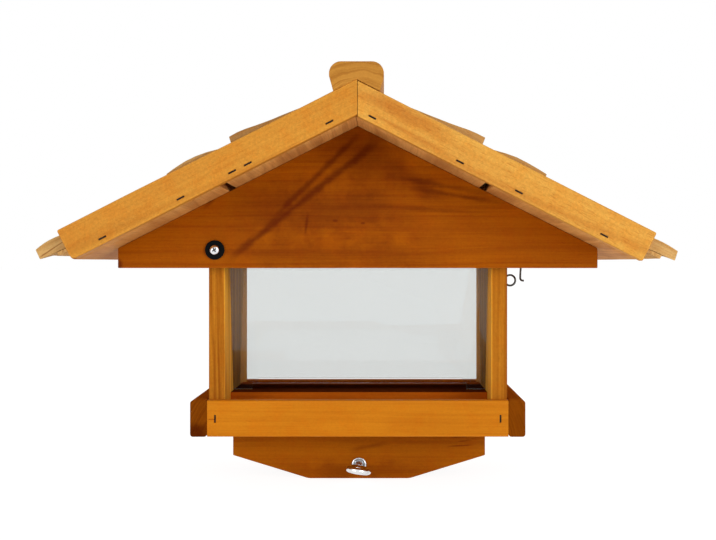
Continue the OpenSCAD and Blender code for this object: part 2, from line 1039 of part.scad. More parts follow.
// The roof eye's ring and shank, in the plane square to the hook's
module roof_eye_shape() {
    translate([hook_x, latch_offset, roof_eye_z]) {
        rotate([0, 90, 0])
            rod_ring(eye_r, wire_d / 2);
        translate([0, 0, eye_r])
            cylinder(h = roof_eye_neck + wire_d / 2 + roof_eye_bite, d = wire_d, $fn = 24);
    }
}

module roof_eye() {
    color(dark_metal) roof_eye_shape();
}

// The hook: a ring round the roof eye's wire, a straight rod and a bent toe
module latch_hook() {
    ring_foot = hook_ring_z - hook_ring_r;
    bend_z = hook_axis_z - hook_l + wire_d / 2 + hook_bend;
    color(dark_metal)
        translate([hook_x, latch_offset, 0]) {
            translate([0, 0, hook_ring_z])
                rotate([90, 0, 0])
                    rod_ring(hook_ring_r, wire_d / 2);
            translate([0, 0, bend_z])
                cylinder(h = ring_foot - bend_z, d = wire_d, $fn = 24);
            translate([hook_bend, 0, bend_z])
                rotate([90, 0, 0])
                    rotate_extrude(angle = 90, start = 180)
                        translate([hook_bend, 0])
                            circle(wire_d / 2, $fn = 24);
            translate([hook_bend, 0, bend_z - hook_bend])
                rotate([0, 90, 0])
                    cylinder(h = hook_toe, d = wire_d, $fn = 24);
            translate([hook_bend + hook_toe, 0, bend_z - hook_bend])
                sphere(wire_d / 2, $fn = 24);
        }
}

tray_floor();
front_rail();
rear_rail();
left_rail();
right_rail();
hopper_base();
front_keel();
rear_keel();
socket_block();
clamp_sleeve();
floor_screws();
underside_screws();
rail_staples();
left_wall();
right_wall();
front_pane();
rear_pane();
front_pivot_screw();
rear_pivot_screw();
front_pivot_washer();
rear_pivot_washer();
wall_eye();
front_gable();
rear_gable();
left_upper_sheathing();
left_lower_sheathing();
right_upper_sheathing();
right_lower_sheathing();
front_left_rake();
front_right_rake();
rear_left_rake();
rear_right_rake();
left_starter();
right_starter();
left_course_1();
left_course_2();
left_course_3();
left_course_4();
right_course_1();
right_course_2();
right_course_3();
right_course_4();
ridge_cap();
rake_staples();
sheathing_nails();
roof_eye();
latch_hook();
clamp_bolt();
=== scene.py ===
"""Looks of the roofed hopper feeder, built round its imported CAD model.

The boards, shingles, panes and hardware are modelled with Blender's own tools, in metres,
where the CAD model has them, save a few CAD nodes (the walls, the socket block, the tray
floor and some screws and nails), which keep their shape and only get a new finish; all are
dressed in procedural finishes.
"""

import logging
import math
from contextlib import contextmanager
from dataclasses import dataclass, replace
from enum import Enum
from typing import Callable, Iterator, Sequence, Union

import bmesh
import bpy
from mathutils import Matrix, Vector

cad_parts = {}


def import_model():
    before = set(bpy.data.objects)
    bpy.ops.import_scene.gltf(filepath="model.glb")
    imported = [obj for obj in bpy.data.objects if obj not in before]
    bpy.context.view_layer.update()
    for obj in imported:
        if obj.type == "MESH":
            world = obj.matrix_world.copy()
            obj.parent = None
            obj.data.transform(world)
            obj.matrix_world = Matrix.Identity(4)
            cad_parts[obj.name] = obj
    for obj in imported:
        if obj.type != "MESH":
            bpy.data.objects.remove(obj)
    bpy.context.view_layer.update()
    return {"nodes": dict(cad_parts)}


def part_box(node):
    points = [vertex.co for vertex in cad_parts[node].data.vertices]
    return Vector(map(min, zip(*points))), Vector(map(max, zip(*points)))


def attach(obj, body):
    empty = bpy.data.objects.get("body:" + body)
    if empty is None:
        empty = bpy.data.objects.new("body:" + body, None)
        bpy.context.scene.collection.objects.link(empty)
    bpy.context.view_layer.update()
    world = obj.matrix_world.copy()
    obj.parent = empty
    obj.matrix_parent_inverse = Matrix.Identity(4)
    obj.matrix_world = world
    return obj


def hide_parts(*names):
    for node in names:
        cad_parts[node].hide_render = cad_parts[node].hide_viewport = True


log = logging.getLogger("feeder")

Piece = bpy.types.Object
Material = bpy.types.Material
Colour = tuple[float, float, float, float]
Point = tuple[float, float, float]
Pair = tuple[float, float]
Rule = Callable[[Vector], bool]
MM = 0.001
NEAR = 1e-5
WELD = 1e-6
QUARTER = math.pi / 2
WHITE: Colour = (1.0, 1.0, 1.0, 1.0)


def paint(*screen: int) -> Colour:
    """Gives the linear colour of a screen colour, by its red, green and blue up to 255."""
    shares = [value / 255 for value in screen]
    linear = [s / 12.92 if s <= 0.04045 else ((s + 0.055) / 1.055) ** 2.4 for s in shares]
    return *linear, 1.0


def clamped(value: float) -> float:
    """Keeps a value between 0 and 1."""
    return max(0.0, min(1.0, value))


# Shader graphs


def operator(operation: str, swapped: bool = False) -> Callable[["Wire", "Feed"], "Wire"]:
    """Makes an operator of a wire, or its reflected form, which adds a Math node."""
    def work(wire: "Wire", other: "Feed") -> "Wire":
        """Adds the node."""
        return wire.graph.math(operation, *((other, wire) if swapped else (wire, other)))

    return work


class Wire:
    """One output of a shader node. Arithmetic on it adds the Math nodes for it."""

    def __init__(self, graph: "Graph", socket: bpy.types.NodeSocket) -> None:
        """Keeps the graph and the output socket."""
        self.graph = graph
        self.socket = socket

    def math(self, operation: str, *others: "Feed") -> "Wire":
        """Adds one Math node of this wire and further values."""
        return self.graph.math(operation, self, *others)

    __add__ = operator("ADD")
    __radd__ = operator("ADD", swapped=True)
    __sub__ = operator("SUBTRACT")
    __rsub__ = operator("SUBTRACT", swapped=True)
    __mul__ = operator("MULTIPLY")
    __rmul__ = operator("MULTIPLY", swapped=True)
    __truediv__ = operator("DIVIDE")
    __pow__ = operator("POWER")


Feed = Union[Wire, float, Sequence[float]]
Key = Union[str, int]


class Graph:
    """The node tree of one material or world."""

    def __init__(self, tree: bpy.types.NodeTree) -> None:
        """Takes a node tree and empties it."""
        tree.nodes.clear()
        self.tree = tree

    def add(self, kind: str, sockets: dict[Key, Feed], **settings: object) -> bpy.types.Node:
        """Adds any node.

        Args:
            kind: the node's type, less the ShaderNode that it starts with.
            sockets: the values or links of its sockets, by name or number.
            settings: its settings, which are set before its sockets.

        Returns:
            The node.
        """
        made = self.tree.nodes.new("ShaderNode" + kind)
        for name, value in settings.items():
            setattr(made, name, value)
        for name, value in sockets.items():
            if isinstance(value, Wire):
                self.tree.links.new(value.socket, made.inputs[name])
            else:
                made.inputs[name].default_value = value
        return made

    def node(
        self, kind: str, sockets: dict[Key, Feed] | None = None, out: Key = 0, **settings: object
    ) -> Wire:
        """Adds any node as add does, and gives the output that is wanted."""
        return Wire(self, self.add(kind, sockets or {}, **settings).outputs[out])

    def output(self, wire: Wire, name: Key) -> Wire:
        """Gives another output of the node that a wire comes from."""
        return Wire(self, wire.socket.node.outputs[name])

    def math(self, operation: str, *values: Feed) -> Wire:
        """Adds one Math node with its values in order."""
        return self.node("Math", dict(enumerate(values)), operation=operation)

    def vector(self, operation: str, *values: Feed, out: Key = 0) -> Wire:
        """Adds one Vector Math node with its values in order."""
        return self.node("VectorMath", dict(enumerate(values)), out, operation=operation)

    def ramp(self, value: Wire, low: float, high: float, rise: bool = True) -> Wire:
        """Turns a value into a soft mask.

        Args:
            value: the value.
            low: where the mask starts to change.
            high: where it is done.
            rise: True for 0 to 1, False for 1 to 0.

        Returns:
            The mask.
        """
        ends = (0.0, 1.0) if rise else (1.0, 0.0)
        sockets = dict(enumerate((value, low, high, *ends)))
        return self.node("MapRange", sockets, interpolation_type="SMOOTHSTEP")

    def noise(
        self, place: Wire, stretch: Sequence[float], detail: float = 3.0, rough: float = 0.55
    ) -> Wire:
        """Adds noise.

        Args:
            place: where it is read.
            stretch: how many cells it has in a metre, each way.
            detail: its layers.
            rough: how much the fine layers count.

        Returns:
            The noise, from 0 to 1.
        """
        cells = self.vector("MULTIPLY", place, stretch)
        sockets = {"Vector": cells, "Scale": 1.0, "Detail": detail, "Roughness": rough}
        return self.node("TexNoise", sockets, noise_dimensions="3D")

    def blend(self, share: Feed, first: Feed, second: Feed, mode: str = "MIX") -> Wire:
        """Mixes two colours.

        Args:
            share: how much of the second shows.
            first: the colour underneath.
            second: the colour on top.
            mode: the Mix node's blend type.

        Returns:
            The mixed colour.
        """
        return self.node(
            "Mix", {0: share, 6: first, 7: second}, 2,
            data_type="RGBA", blend_type=mode, clamp_factor=True,
        )

    def mark(self, name: str) -> Wire:
        """Reads a mark of the mesh."""
        return self.node("Attribute", out="Fac", attribute_name=name)

    def bump(self, strength: float, depth: float, height: Wire) -> Wire:
        """Adds a Bump node, with its depth in millimetres."""
        return self.node("Bump", {"Strength": strength, "Distance": depth * MM, "Height": height})

    def coat(
        self, colour: Feed, roughness: Wire, bump: Wire, metallic: float = 0.0, gloss: float = 0.5
    ) -> Wire:
        """Adds a Principled shader, with the gloss as its specular level."""
        return self.node("BsdfPrincipled", {
            "Base Color": colour, "Roughness": roughness, "Normal": bump, "Metallic": metallic,
            "Specular IOR Level": gloss,
        })

    def surface(self, shader: Wire) -> None:
        """Links a shader to the material's output."""
        self.add("OutputMaterial", {"Surface": shader})


def new_material(name: str) -> tuple[Material, Graph]:
    """Makes an empty material and its graph."""
    made = bpy.data.materials.new(name)
    made.use_nodes = True
    return made, Graph(made.node_tree)


# Finishes


class Grain(Enum):
    """The way a board's grain runs, as the turn that lays x along it."""

    ALONG_X = (0.0, 0.0, 0.0)
    ALONG_Y = (0.0, 0.0, QUARTER)
    UPRIGHT = (0.0, -QUARTER, 0.0)
    RIGHT_SLOPE = (0.0, math.radians(27), 0.0)
    LEFT_SLOPE = (0.0, math.radians(153), 0.0)

    def direction(self) -> Point:
        """Gives the direction of the grain."""
        turned = Vector((1.0, 0.0, 0.0))
        turned.rotate(Matrix.Rotation(self.value[1], 3, "Y"))
        turned.rotate(Matrix.Rotation(self.value[2], 3, "Z"))
        return tuple(turned)


@dataclass(frozen=True)
class DarkBand:
    """A dark band laid over the wood, from one point to another in x and z, in millimetres; most are
    lines in the wood, some are painted shade.
    """

    start: Pair
    end: Pair
    width: float
    depth: float
    fade: float = 7.0


@dataclass(frozen=True)
class Knot:
    """A knot at a point in x and z, in millimetres."""

    place: Pair
    radius: float


# Near-black red-brown painted shade, laid on the front of the hopper base's top, which the roof shades.
PAINTED_SHADE_TINT: Colour = (0.03, 0.0045, 0.0025, 1.0)
WARM: Colour = (1.0, 0.78, 0.5, 1.0)
# Near-black painted shade for the cross recess of the pivot screws.
RECESS_SHADE_PAINT: Colour = (0.02, 0.018, 0.016, 1.0)
# Gain of the painted light that brightens and whitens the walls' inner faces inside the hopper.
PAINTED_LIGHT_GAIN: Point = (1.8, 2.3, 3.0)


@dataclass(frozen=True)
class Finish:
    """A procedural finish."""

    name: str

    def material(self) -> Material:
        """Makes the finish's material."""
        made, graph = new_material(self.name)
        graph.surface(self.draw(graph, graph.node("TexCoord", out="Object")))
        return made

    def draw(self, graph: Graph, place: Wire) -> Wire:
        """Draws the finish at the given point on the object and gives its shader."""
        raise NotImplementedError


@dataclass(frozen=True)
class Wood(Finish):
    """Stained softwood: its colours, growth rings, fibres and marks, and, where a board asks for them,
    painted shade and painted light.
    """

    pale: Colour
    ring: Colour
    stain: Colour
    end: Colour
    grain: Grain
    ring_gap: float = 2.6
    ring_depth: float = 0.5
    wander: float = 3.0
    pith: Pair = (60.0, 110.0)
    fibre: float = 0.3
    speck: float = 0.16
    dashes: float = 0.0
    blotch: float = 0.3
    warm: float = 0.3
    rub: float = 0.3
    sheen: float = 0.55
    gloss: float = 0.04
    relief: float = 0.25
    streaks: tuple[DarkBand, ...] = ()
    knots: tuple[Knot, ...] = ()
    by_shingle: float = 0.0
    # Distance from the middle within which faces get painted light; 0 for none.
    lining: float = 0.0

    def draw(self, graph: Graph, place: Wire) -> Wire:
        """Draws the wood.

        Args:
            graph: the graph to draw in.
            place: the point on the object.

        Returns:
            The wood's shader.
        """
        along = graph.node(
            "Mapping", {"Vector": place, "Rotation": self.grain.value}, vector_type="TEXTURE"
        )
        late, slow = self._rings(graph, place, along)
        fibres = graph.noise(along, (14.0, 760.0, 760.0), 4.0, 0.62)
        fine = graph.noise(along, (150.0, 1700.0, 1700.0), 2.0, 0.6)
        patches = graph.noise(along, (7.0, 30.0, 30.0), 3.0, 0.55)
        specks = graph.noise(place, [460.0] * 3, 4.0, 0.75)
        tints = graph.noise(place, [75.0] * 3, 3.0, 0.6)

        colour = graph.blend(late * self.ring_depth, self.pale, self.ring)
        layers = [
            (fibres, 0.4, 0.72, self.fibre, self.ring),
            (fine, 0.58, 0.74, self.fibre * 0.7, self.stain),
            (patches, 0.42, 0.8, self.blotch, self.stain),
        ]
        if self.dashes:
            dash = graph.noise(along, (130.0, 900.0, 900.0), 1.0, 0.5)
            layers.append((dash, 0.58, 0.7, self.dashes, self.stain))
        for value, low, high, most, tint in layers:
            colour = graph.blend(graph.ramp(value, low, high) * most, colour, tint)
        colour = graph.blend(graph.ramp(tints, 0.42, 0.66) * self.warm, colour, WARM, "MULTIPLY")
        worn = graph.mark("edge") * graph.ramp(patches, 0.3, 0.6) * self.rub
        rubbed = *(min(0.95, channel * 1.25 + 0.01) for channel in self.pale[:3]), 1.0
        colour = graph.blend(worn, colour, rubbed)
        # Painted shade: the marked faces are darkened towards near-black red-brown.
        colour = graph.blend(graph.mark("soil") * (0.75 + fibres * 0.2), colour, PAINTED_SHADE_TINT)
        normal = graph.node("TexCoord", out="Normal")
        facing = graph.vector("DOT_PRODUCT", normal, self.grain.direction(), out="Value")
        ends = graph.ramp(facing.math("ABSOLUTE"), 0.72, 0.93)
        colour = graph.blend(ends * 0.92, colour, graph.blend(late * 0.55, self.end, self.stain))
        colour = self._marks(graph, place, colour, fibres)
        if self.by_shingle:
            colour = graph.blend(graph.mark("tone") * self.by_shingle, colour, self.stain)
        # Painted light: faces nearer the middle than the given distance, the walls' inner faces, are
        # brightened and whitened.
        if self.lining:
            off = graph.node("SeparateXYZ", {0: place}).math("ABSOLUTE")
            painted_light = graph.ramp(off, (self.lining - 0.4) * MM, (self.lining + 0.4) * MM, rise=False)
            colour = graph.blend(painted_light, colour, graph.vector("MULTIPLY", colour, PAINTED_LIGHT_GAIN))
        shade = 1 - (specks - 0.5) * (self.speck * 2.6) - (slow - 0.5) * 0.16
        grey = graph.node("CombineXYZ", {0: shade, 1: shade, 2: shade})
        colour = graph.blend(1.0, colour, grey, "MULTIPLY")
        bump = graph.bump(self.relief, 0.4, fibres * 0.6 + late * 0.5 + fine * 0.35)
        roughness = self.sheen + (fibres - 0.5) * 0.16 + ends * 0.2
        return graph.coat(colour, roughness, bump, gloss=self.gloss)

    def _rings(self, graph: Graph, place: Wire, along: Wire) -> tuple[Wire, Wire]:
        """Draws the growth rings round a pith line that lies beside the board.

        Args:
            graph: the graph to draw in.
            place: the point on the object.
            along: the same point with x along the grain.

        Returns:
            The dark late wood, and the slow noise that makes the rings uneven.
        """
        slow = graph.noise(along, (3.0, 14.0, 14.0), 2.0, 0.5)
        uneven = graph.noise(along, (5.0, 90.0, 90.0), 2.0, 0.5)
        across = graph.node("SeparateXYZ", {0: along}, 1)
        side = across - self.pith[0] * MM
        rise = graph.output(across, 2) - self.pith[1] * MM
        reach = (side * side + rise * rise) ** 0.5 + (slow - 0.5) * (self.wander * MM * 4)
        for knot in self.knots:
            reach = reach + self._near(graph, place, knot) * (knot.radius * MM * 1.6)
        turns = reach / (self.ring_gap * MM) + (uneven - 0.5) * 1.2
        strip = graph.node("CombineXYZ", {0: turns, 1: slow * 3.0})
        sockets = {"Vector": strip, "Scale": 0.9, "Detail": 2.0, "Roughness": 0.6}
        bands = graph.node("TexNoise", sockets, noise_dimensions="2D")
        share = turns.math("FRACT")
        lines = graph.ramp(share, 0.25, 0.85) * graph.ramp(share, 0.86, 1.0, rise=False)
        return graph.ramp(bands, 0.4, 0.68) * 0.7 + lines * (bands - 0.15) * 0.6, slow

    @staticmethod
    def _near(graph: Graph, place: Wire, knot: Knot) -> Wire:
        """Gives 1 at a knot and less with the distance from it."""
        centre = (knot.place[0] * MM, 0.0, knot.place[1] * MM)
        flat = graph.vector("MULTIPLY", graph.vector("SUBTRACT", place, centre), (0.55, 0.0, 1.0))
        far = graph.vector("LENGTH", flat, out="Value")
        return graph.ramp(far, knot.radius * MM * 0.3, knot.radius * MM * 3.2, rise=False)

    def _marks(self, graph: Graph, place: Wire, colour: Wire, fibres: Wire) -> Wire:
        """Lays the dark bands and the knots over a colour; the bands are lines in the wood, and on some
        boards painted shade.

        Args:
            graph: the graph to draw in.
            place: the point on the object.
            colour: the colour so far.
            fibres: the fibre noise, which frays the marks.

        Returns:
            The colour with the marks.
        """
        fray = graph.noise(place, [60.0] * 3, 3.0, 0.6)
        for dark_band in self.streaks:
            start = Vector((dark_band.start[0] * MM, 0.0, dark_band.start[1] * MM))
            run = Vector((dark_band.end[0] * MM, 0.0, dark_band.end[1] * MM)) - start
            line = run.normalized()
            offset = graph.vector("SUBTRACT", place, tuple(start))
            down = graph.vector("DOT_PRODUCT", offset, tuple(line), out="Value")
            off = graph.vector("DOT_PRODUCT", offset, (line.z, 0.0, -line.x), out="Value")
            beyond = (down - run.length / 2).math("ABSOLUTE") - run.length / 2
            ends = graph.ramp(beyond, -dark_band.fade * MM, dark_band.fade * MM, rise=False)
            away = off.math("ABSOLUTE") + (fray - 0.5) * (dark_band.width * MM * 1.3)
            band = graph.ramp(away, 0.0, dark_band.width * MM * 1.1, rise=False)
            mask = band * ends * (0.75 + fibres * 0.5) * dark_band.depth
            colour = graph.blend(mask, colour, self.stain)
        for knot in self.knots:
            core = graph.ramp(self._near(graph, place, knot), 0.72, 0.98)
            colour = graph.blend(core * 0.5, colour, self.stain)
        return colour


@dataclass(frozen=True)
class Metal(Finish):
    """Bright or dark metal, with fine scratches and a little tarnish."""

    bright: Colour
    tarnish: Colour
    sheen: float
    scratch: float = 0.08
    worn: float = 0.35
    relief: float = 0.08

    def draw(self, graph: Graph, place: Wire) -> Wire:
        """Draws the metal."""
        cloud = graph.noise(place, [190.0] * 3, 4.0, 0.6)
        lines = graph.noise(place, (3200.0, 260.0, 3200.0), 2.0, 0.6)
        dull = graph.ramp(cloud, 0.45, 0.75) * self.worn
        colour = graph.blend(dull, self.bright, self.tarnish)
        # Painted shade: the marked faces, a screw's cross recess, are darkened to near-black.
        colour = graph.blend(graph.mark("pit") * 0.9, colour, RECESS_SHADE_PAINT)
        roughness = self.sheen + dull * 0.25 + (lines - 0.5) * self.scratch
        return graph.coat(colour, roughness, graph.bump(self.relief, 0.1, lines + cloud * 0.6), 1.0)


@dataclass(frozen=True)
class Rubber(Finish):
    """The black rubber of the pivot washers."""

    black: Colour
    worn: Colour
    gloss: float = 0.05

    def draw(self, graph: Graph, place: Wire) -> Wire:
        """Draws the rubber."""
        dust = graph.noise(place, [420.0] * 3, 4.0, 0.65)
        pebble = graph.noise(place, [2600.0] * 3, 2.0, 0.5)
        colour = graph.blend(graph.ramp(dust, 0.48, 0.74) * 0.5, self.black, self.worn)
        bump = graph.bump(0.25, 0.1, pebble)
        return graph.coat(colour, 0.6 + (dust - 0.5) * 0.3, bump, gloss=self.gloss)


@dataclass(frozen=True)
class Acrylic(Finish):
    """The clear, slightly grey plastic of the panes."""

    clear: Colour
    mirror: Colour
    frost: Colour
    haze: float
    index: float = 1.56

    def draw(self, graph: Graph, place: Wire) -> Wire:
        """Draws the plastic, clear on its faces and frosted where it was sawn."""
        smear = graph.noise(place, (24.0, 24.0, 14.0), 4.0, 0.6)
        bump = graph.bump(0.02, 1.0, graph.noise(place, [14.0] * 3, 1.0, 0.4))
        through = graph.node("BsdfTransparent", {"Color": self.clear})
        face = graph.coat(self.mirror, 0.02 + smear * 0.05, bump, 0.9)
        share = graph.node("Fresnel", {"IOR": self.index}) + graph.ramp(smear, 0.4, 0.8) * self.haze
        sheet = graph.node("MixShader", {0: share, 1: through, 2: face})
        sawn = graph.coat(self.frost, 0.4 + smear * 0.3, bump)
        cut = graph.mark("edge") * (0.1 + smear * 0.3)
        return graph.node("MixShader", {0: cut, 1: sheet, 2: sawn})


# Palette

RAKE = Wood(
    "honey_rake", paint(207, 143, 52), paint(188, 114, 32), paint(158, 78, 14),
    paint(178, 112, 42), Grain.RIGHT_SLOPE, ring_gap=4.0, ring_depth=0.3, fibre=0.3,
    pith=(70.0, 150.0), blotch=0.25, speck=0.3, warm=0.4, gloss=0.08,
    streaks=(DarkBand((-222.0, 187.0), (0.0, 287.0), 4.0, 0.22, 20.0),),
)
# The right rake: its own pith, pore dashes and dark lines, and colours painted lighter than the left
# rake's, as painted light on the brighter right side.
RIGHT_RAKE_PAINTED_LIGHTER = replace(
    RAKE, pale=paint(220, 162, 70), ring=paint(200, 132, 46), stain=paint(172, 90, 22),
    pith=(-60.0, 120.0), ring_depth=0.34, fibre=0.34, dashes=0.35,
    streaks=(
        DarkBand((16.0, 290.0), (68.0, 262.0), 3.0, 0.45, 10.0),
        DarkBand((6.0, 307.0), (64.0, 278.0), 8.0, 0.5, 24.0),
        DarkBand((0.0, 287.0), (222.0, 187.0), 5.0, 0.36, 20.0),
    ),
)
RAIL = Wood(
    "orange_rail", paint(207, 127, 23), paint(182, 98, 10), paint(150, 70, 4),
    paint(150, 78, 10), Grain.ALONG_X, ring_gap=3.4, ring_depth=0.32, fibre=0.28,
    pith=(-150.0, 30.0), blotch=0.2, speck=0.1,
    streaks=(DarkBand((-119.5, 56.0), (-113.5, 56.0), 0.7, 0.9, 1.0),),
)
SIDE_RAIL = replace(
    RAIL, name="side_rail", pale=paint(166, 92, 18), ring=paint(130, 62, 8),
    stain=paint(84, 30, 3), end=paint(128, 64, 6), grain=Grain.ALONG_Y, pith=(20.0, 5.0),
    # The wide band round x = -128 mm darkens the whole left side rail, its end face too: painted shade on
    # the less-lit left side.
    ring_gap=2.2, gloss=0.0, sheen=0.8, streaks=(DarkBand((-128.0, 22.0), (-128.0, 52.0), 16.0, 0.9, 3.0),),
)
KEEL = Wood(
    "keel_board", paint(181, 102, 6), paint(158, 78, 2), paint(120, 46, 1),
    paint(120, 58, 4), Grain.ALONG_X, ring_gap=3.6, ring_depth=0.45, fibre=0.36,
    pith=(-80.0, -60.0), blotch=0.26,
    streaks=(
        DarkBand((78.0, 34.5), (92.0, 35.5), 1.0, 0.75, 4.0),
        DarkBand((76.0, 27.0), (94.0, 28.0), 0.9, 0.7, 4.0),
        DarkBand((84.0, 31.0), (93.0, 32.0), 0.8, 0.6, 3.0),
        DarkBand((-4.0, 24.5), (20.0, 29.0), 3.0, 0.5),
        DarkBand((-70.0, 6.0), (70.0, 6.0), 12.0, 0.6, 30.0),
    ),
)
SOCKET = replace(
    KEEL, name="socket_wood", pale=paint(196, 120, 34), ring=paint(150, 78, 14),
    grain=Grain.UPRIGHT, end=paint(150, 86, 20), pith=(12.0, 70.0), streaks=(),
)
BASE = replace(
    KEEL, name="base_board", pale=paint(176, 88, 14), ring=paint(146, 62, 8), pith=(30.0, -50.0),
    gloss=0.0, sheen=0.9, streaks=(),
)
FLOOR = replace(
    BASE, name="floor_board", pale=paint(186, 108, 24), ring=paint(154, 80, 12), pith=(20.0, 160.0),
)
# Wall boards; their inner faces get painted light, brighter and whiter than the wood outside.
WALL = Wood(
    "wall_board", paint(194, 124, 32), paint(138, 68, 8), paint(106, 46, 4),
    paint(150, 82, 16), Grain.UPRIGHT, ring_gap=4.2, ring_depth=0.75, fibre=0.4,
    pith=(-90.0, 40.0), blotch=0.2, gloss=0.03, sheen=0.7, lining=108.5,
)
GABLE = Wood(
    "gable_board", paint(168, 88, 3), paint(138, 60, 1), paint(84, 20, 1),
    paint(110, 50, 4), Grain.ALONG_X, ring_gap=4.2, ring_depth=0.4, wander=5.0,
    pith=(-120.0, 200.0), fibre=0.36, blotch=0.2,
    streaks=(
        # The four widest bands, near the peak and across the upper middle, are partly the board's dark
        # stain and partly painted shade under the roof overhang; the narrow ones are resin lines in the
        # wood.
        DarkBand((-10.0, 274.0), (20.0, 258.0), 24.0, 0.55, 34.0),
        DarkBand((-90.0, 224.0), (36.0, 222.0), 30.0, 0.55, 34.0),
        DarkBand((-90.0, 189.0), (70.0, 188.0), 18.0, 0.4, 34.0),
        DarkBand((22.0, 262.0), (66.0, 234.0), 12.0, 0.45, 18.0),
        DarkBand((-98.0, 188.0), (12.0, 275.5), 4.2, 0.66, 14.0),
        DarkBand((-65.6, 218.8), (-2.0, 281.0), 3.4, 0.6, 12.0),
        DarkBand((30.0, 250.0), (96.0, 238.0), 3.5, 0.4, 22.0),
        DarkBand((50.0, 240.0), (110.0, 230.0), 3.0, 0.5, 22.0),
        DarkBand((20.0, 226.0), (90.0, 222.0), 2.5, 0.3, 22.0),
        DarkBand((-42.0, 205.0), (-40.0, 220.0), 1.5, 0.55, 4.0),
        DarkBand((-122.0, 226.0), (-108.0, 241.0), 2.5, 0.5, 6.0),
        DarkBand((-191.5, 184.0), (-190.0, 176.0), 3.0, 0.7, 3.0),
    ),
    knots=(Knot((-18.0, 215.0), 1.1), Knot((4.0, 213.0), 0.9)),
)
REAR_GABLE = replace(
    GABLE, name="rear_gable_board", pith=(120.0, 150.0),
    streaks=(DarkBand((60.0, 190.0), (110.0, 214.0), 5.0, 0.5),
             DarkBand((-50.0, 236.0), (-10.0, 250.0), 4.0, 0.45)),
    knots=(Knot((72.0, 208.0), 5.0), Knot((-88.0, 214.0), 3.5)),
)
SHEATHING = Wood(
    "sheathing_board", paint(226, 164, 92), paint(180, 116, 58), paint(138, 82, 38),
    paint(150, 84, 16), Grain.ALONG_Y, ring_gap=3.0, ring_depth=0.8, fibre=0.45,
    pith=(60.0, -40.0), gloss=0.05, sheen=0.6,
)
CAP = Wood(
    "ridge_beam", paint(190, 130, 50), paint(158, 94, 28), paint(130, 70, 14),
    paint(188, 130, 54), Grain.ALONG_Y, ring_gap=3.0, ring_depth=0.6, fibre=0.35,
    pith=(-4.0, 290.0), blotch=0.3,
)
SHINGLE = Wood(
    "split_shingle", paint(232, 190, 120), paint(196, 140, 72), paint(146, 86, 34),
    paint(216, 168, 102), Grain.RIGHT_SLOPE, ring_gap=3.2, ring_depth=0.5, fibre=0.5,
    pith=(40.0, 160.0), blotch=0.35, relief=0.5, sheen=0.7, by_shingle=0.5,
    streaks=(DarkBand((-217.5, 198.6), (-236.3, 186.2), 0.8, 0.85, 2.0),),
)
# The left slope's shingles: grain turned for the left slope, and colours painted darker than the right's,
# as painted shade on the less-lit left side.
LEFT_SHINGLE_PAINTED_DARKER = replace(
    SHINGLE, name="left_shingle_wood", grain=Grain.LEFT_SLOPE, pale=paint(208, 168, 106),
    ring=paint(174, 122, 62), stain=paint(130, 76, 30), end=paint(192, 148, 90),
)
STARTER = replace(SHINGLE, name="starter_wood", grain=Grain.ALONG_Y, by_shingle=0.0)
CHROME = Metal("plated_steel", paint(226, 228, 230), paint(150, 152, 154), 0.14)
PIVOT = replace(CHROME, name="pivot_steel", sheen=0.2)
STEEL = Metal("screw_steel", paint(196, 196, 194), paint(128, 126, 122), 0.3)
DARK_WIRE = Metal("dark_wire", paint(92, 90, 86), paint(50, 47, 43), 0.34, worn=0.7)
STAPLE = Metal("staple_wire", paint(52, 42, 34), paint(26, 18, 12), 0.34, worn=0.7)
RUBBER = Rubber("washer_rubber", paint(7, 10, 12), paint(18, 23, 27))
ACRYLIC = Acrylic("clear_acrylic", (0.922, 0.93, 0.926, 1.0), (0.95, 0.97, 1.0, 1.0),
                  paint(186, 200, 196), 0.006)


# The bench: Blender's tools as they are used by hand


def clear() -> None:
    """Deselects everything."""
    bpy.ops.object.select_all(action="DESELECT")


def take(piece: Piece) -> None:
    """Selects one piece alone and makes it active."""
    clear()
    piece.select_set(True)
    bpy.context.view_layer.objects.active = piece


def settle(piece: Piece) -> None:
    """Puts a piece's place, turn and size into its mesh."""
    take(piece)
    bpy.ops.object.transform_apply(location=True, rotation=True, scale=True)


def move(piece: Piece, matrix: Matrix) -> None:
    """Moves a piece by a matrix and settles it there."""
    piece.matrix_world = matrix @ piece.matrix_world
    settle(piece)


def stand(place: Point, turn: float, axis: str) -> Matrix:
    """Gives the move that turns a piece about an axis and then sets it at a place."""
    return Matrix.Translation(place) @ Matrix.Rotation(turn, 4, axis)


def fresh(name: str) -> Piece:
    """Names the piece that an operator has just made."""
    piece = bpy.context.object
    piece.name = name
    piece.data.name = name
    return piece


def block(name: str, low: Sequence[float], high: Sequence[float]) -> Piece:
    """Saws a block from its lowest to its highest corner, with its place in its mesh."""
    clear()
    bpy.ops.mesh.primitive_cube_add(size=1.0, location=[(a + b) / 2 for a, b in zip(low, high)])
    piece = fresh(name)
    piece.scale = [b - a for a, b in zip(low, high)]
    settle(piece)
    return piece


def steps(gap: int, last: int, first: int | None = None) -> list[float]:
    """Gives places a gap in millimetres apart, by number, by default from both sides of 0."""
    return [i * gap * MM for i in range(-last if first is None else first, last + 1)]


@contextmanager
def editing(piece: Piece, action: str = "DESELECT") -> Iterator[None]:
    """Opens a piece in edit mode with nothing selected, or with all of it."""
    take(piece)
    bpy.ops.object.mode_set(mode="EDIT")
    bpy.ops.mesh.select_mode(type="VERT")
    bpy.ops.mesh.select_all(action=action)
    try:
        yield
    finally:
        bpy.ops.object.mode_set(mode="OBJECT")


class Part(Enum):
    """What an edit-mode selection picks."""

    EDGES = "EDGE"
    FACES = "FACE"


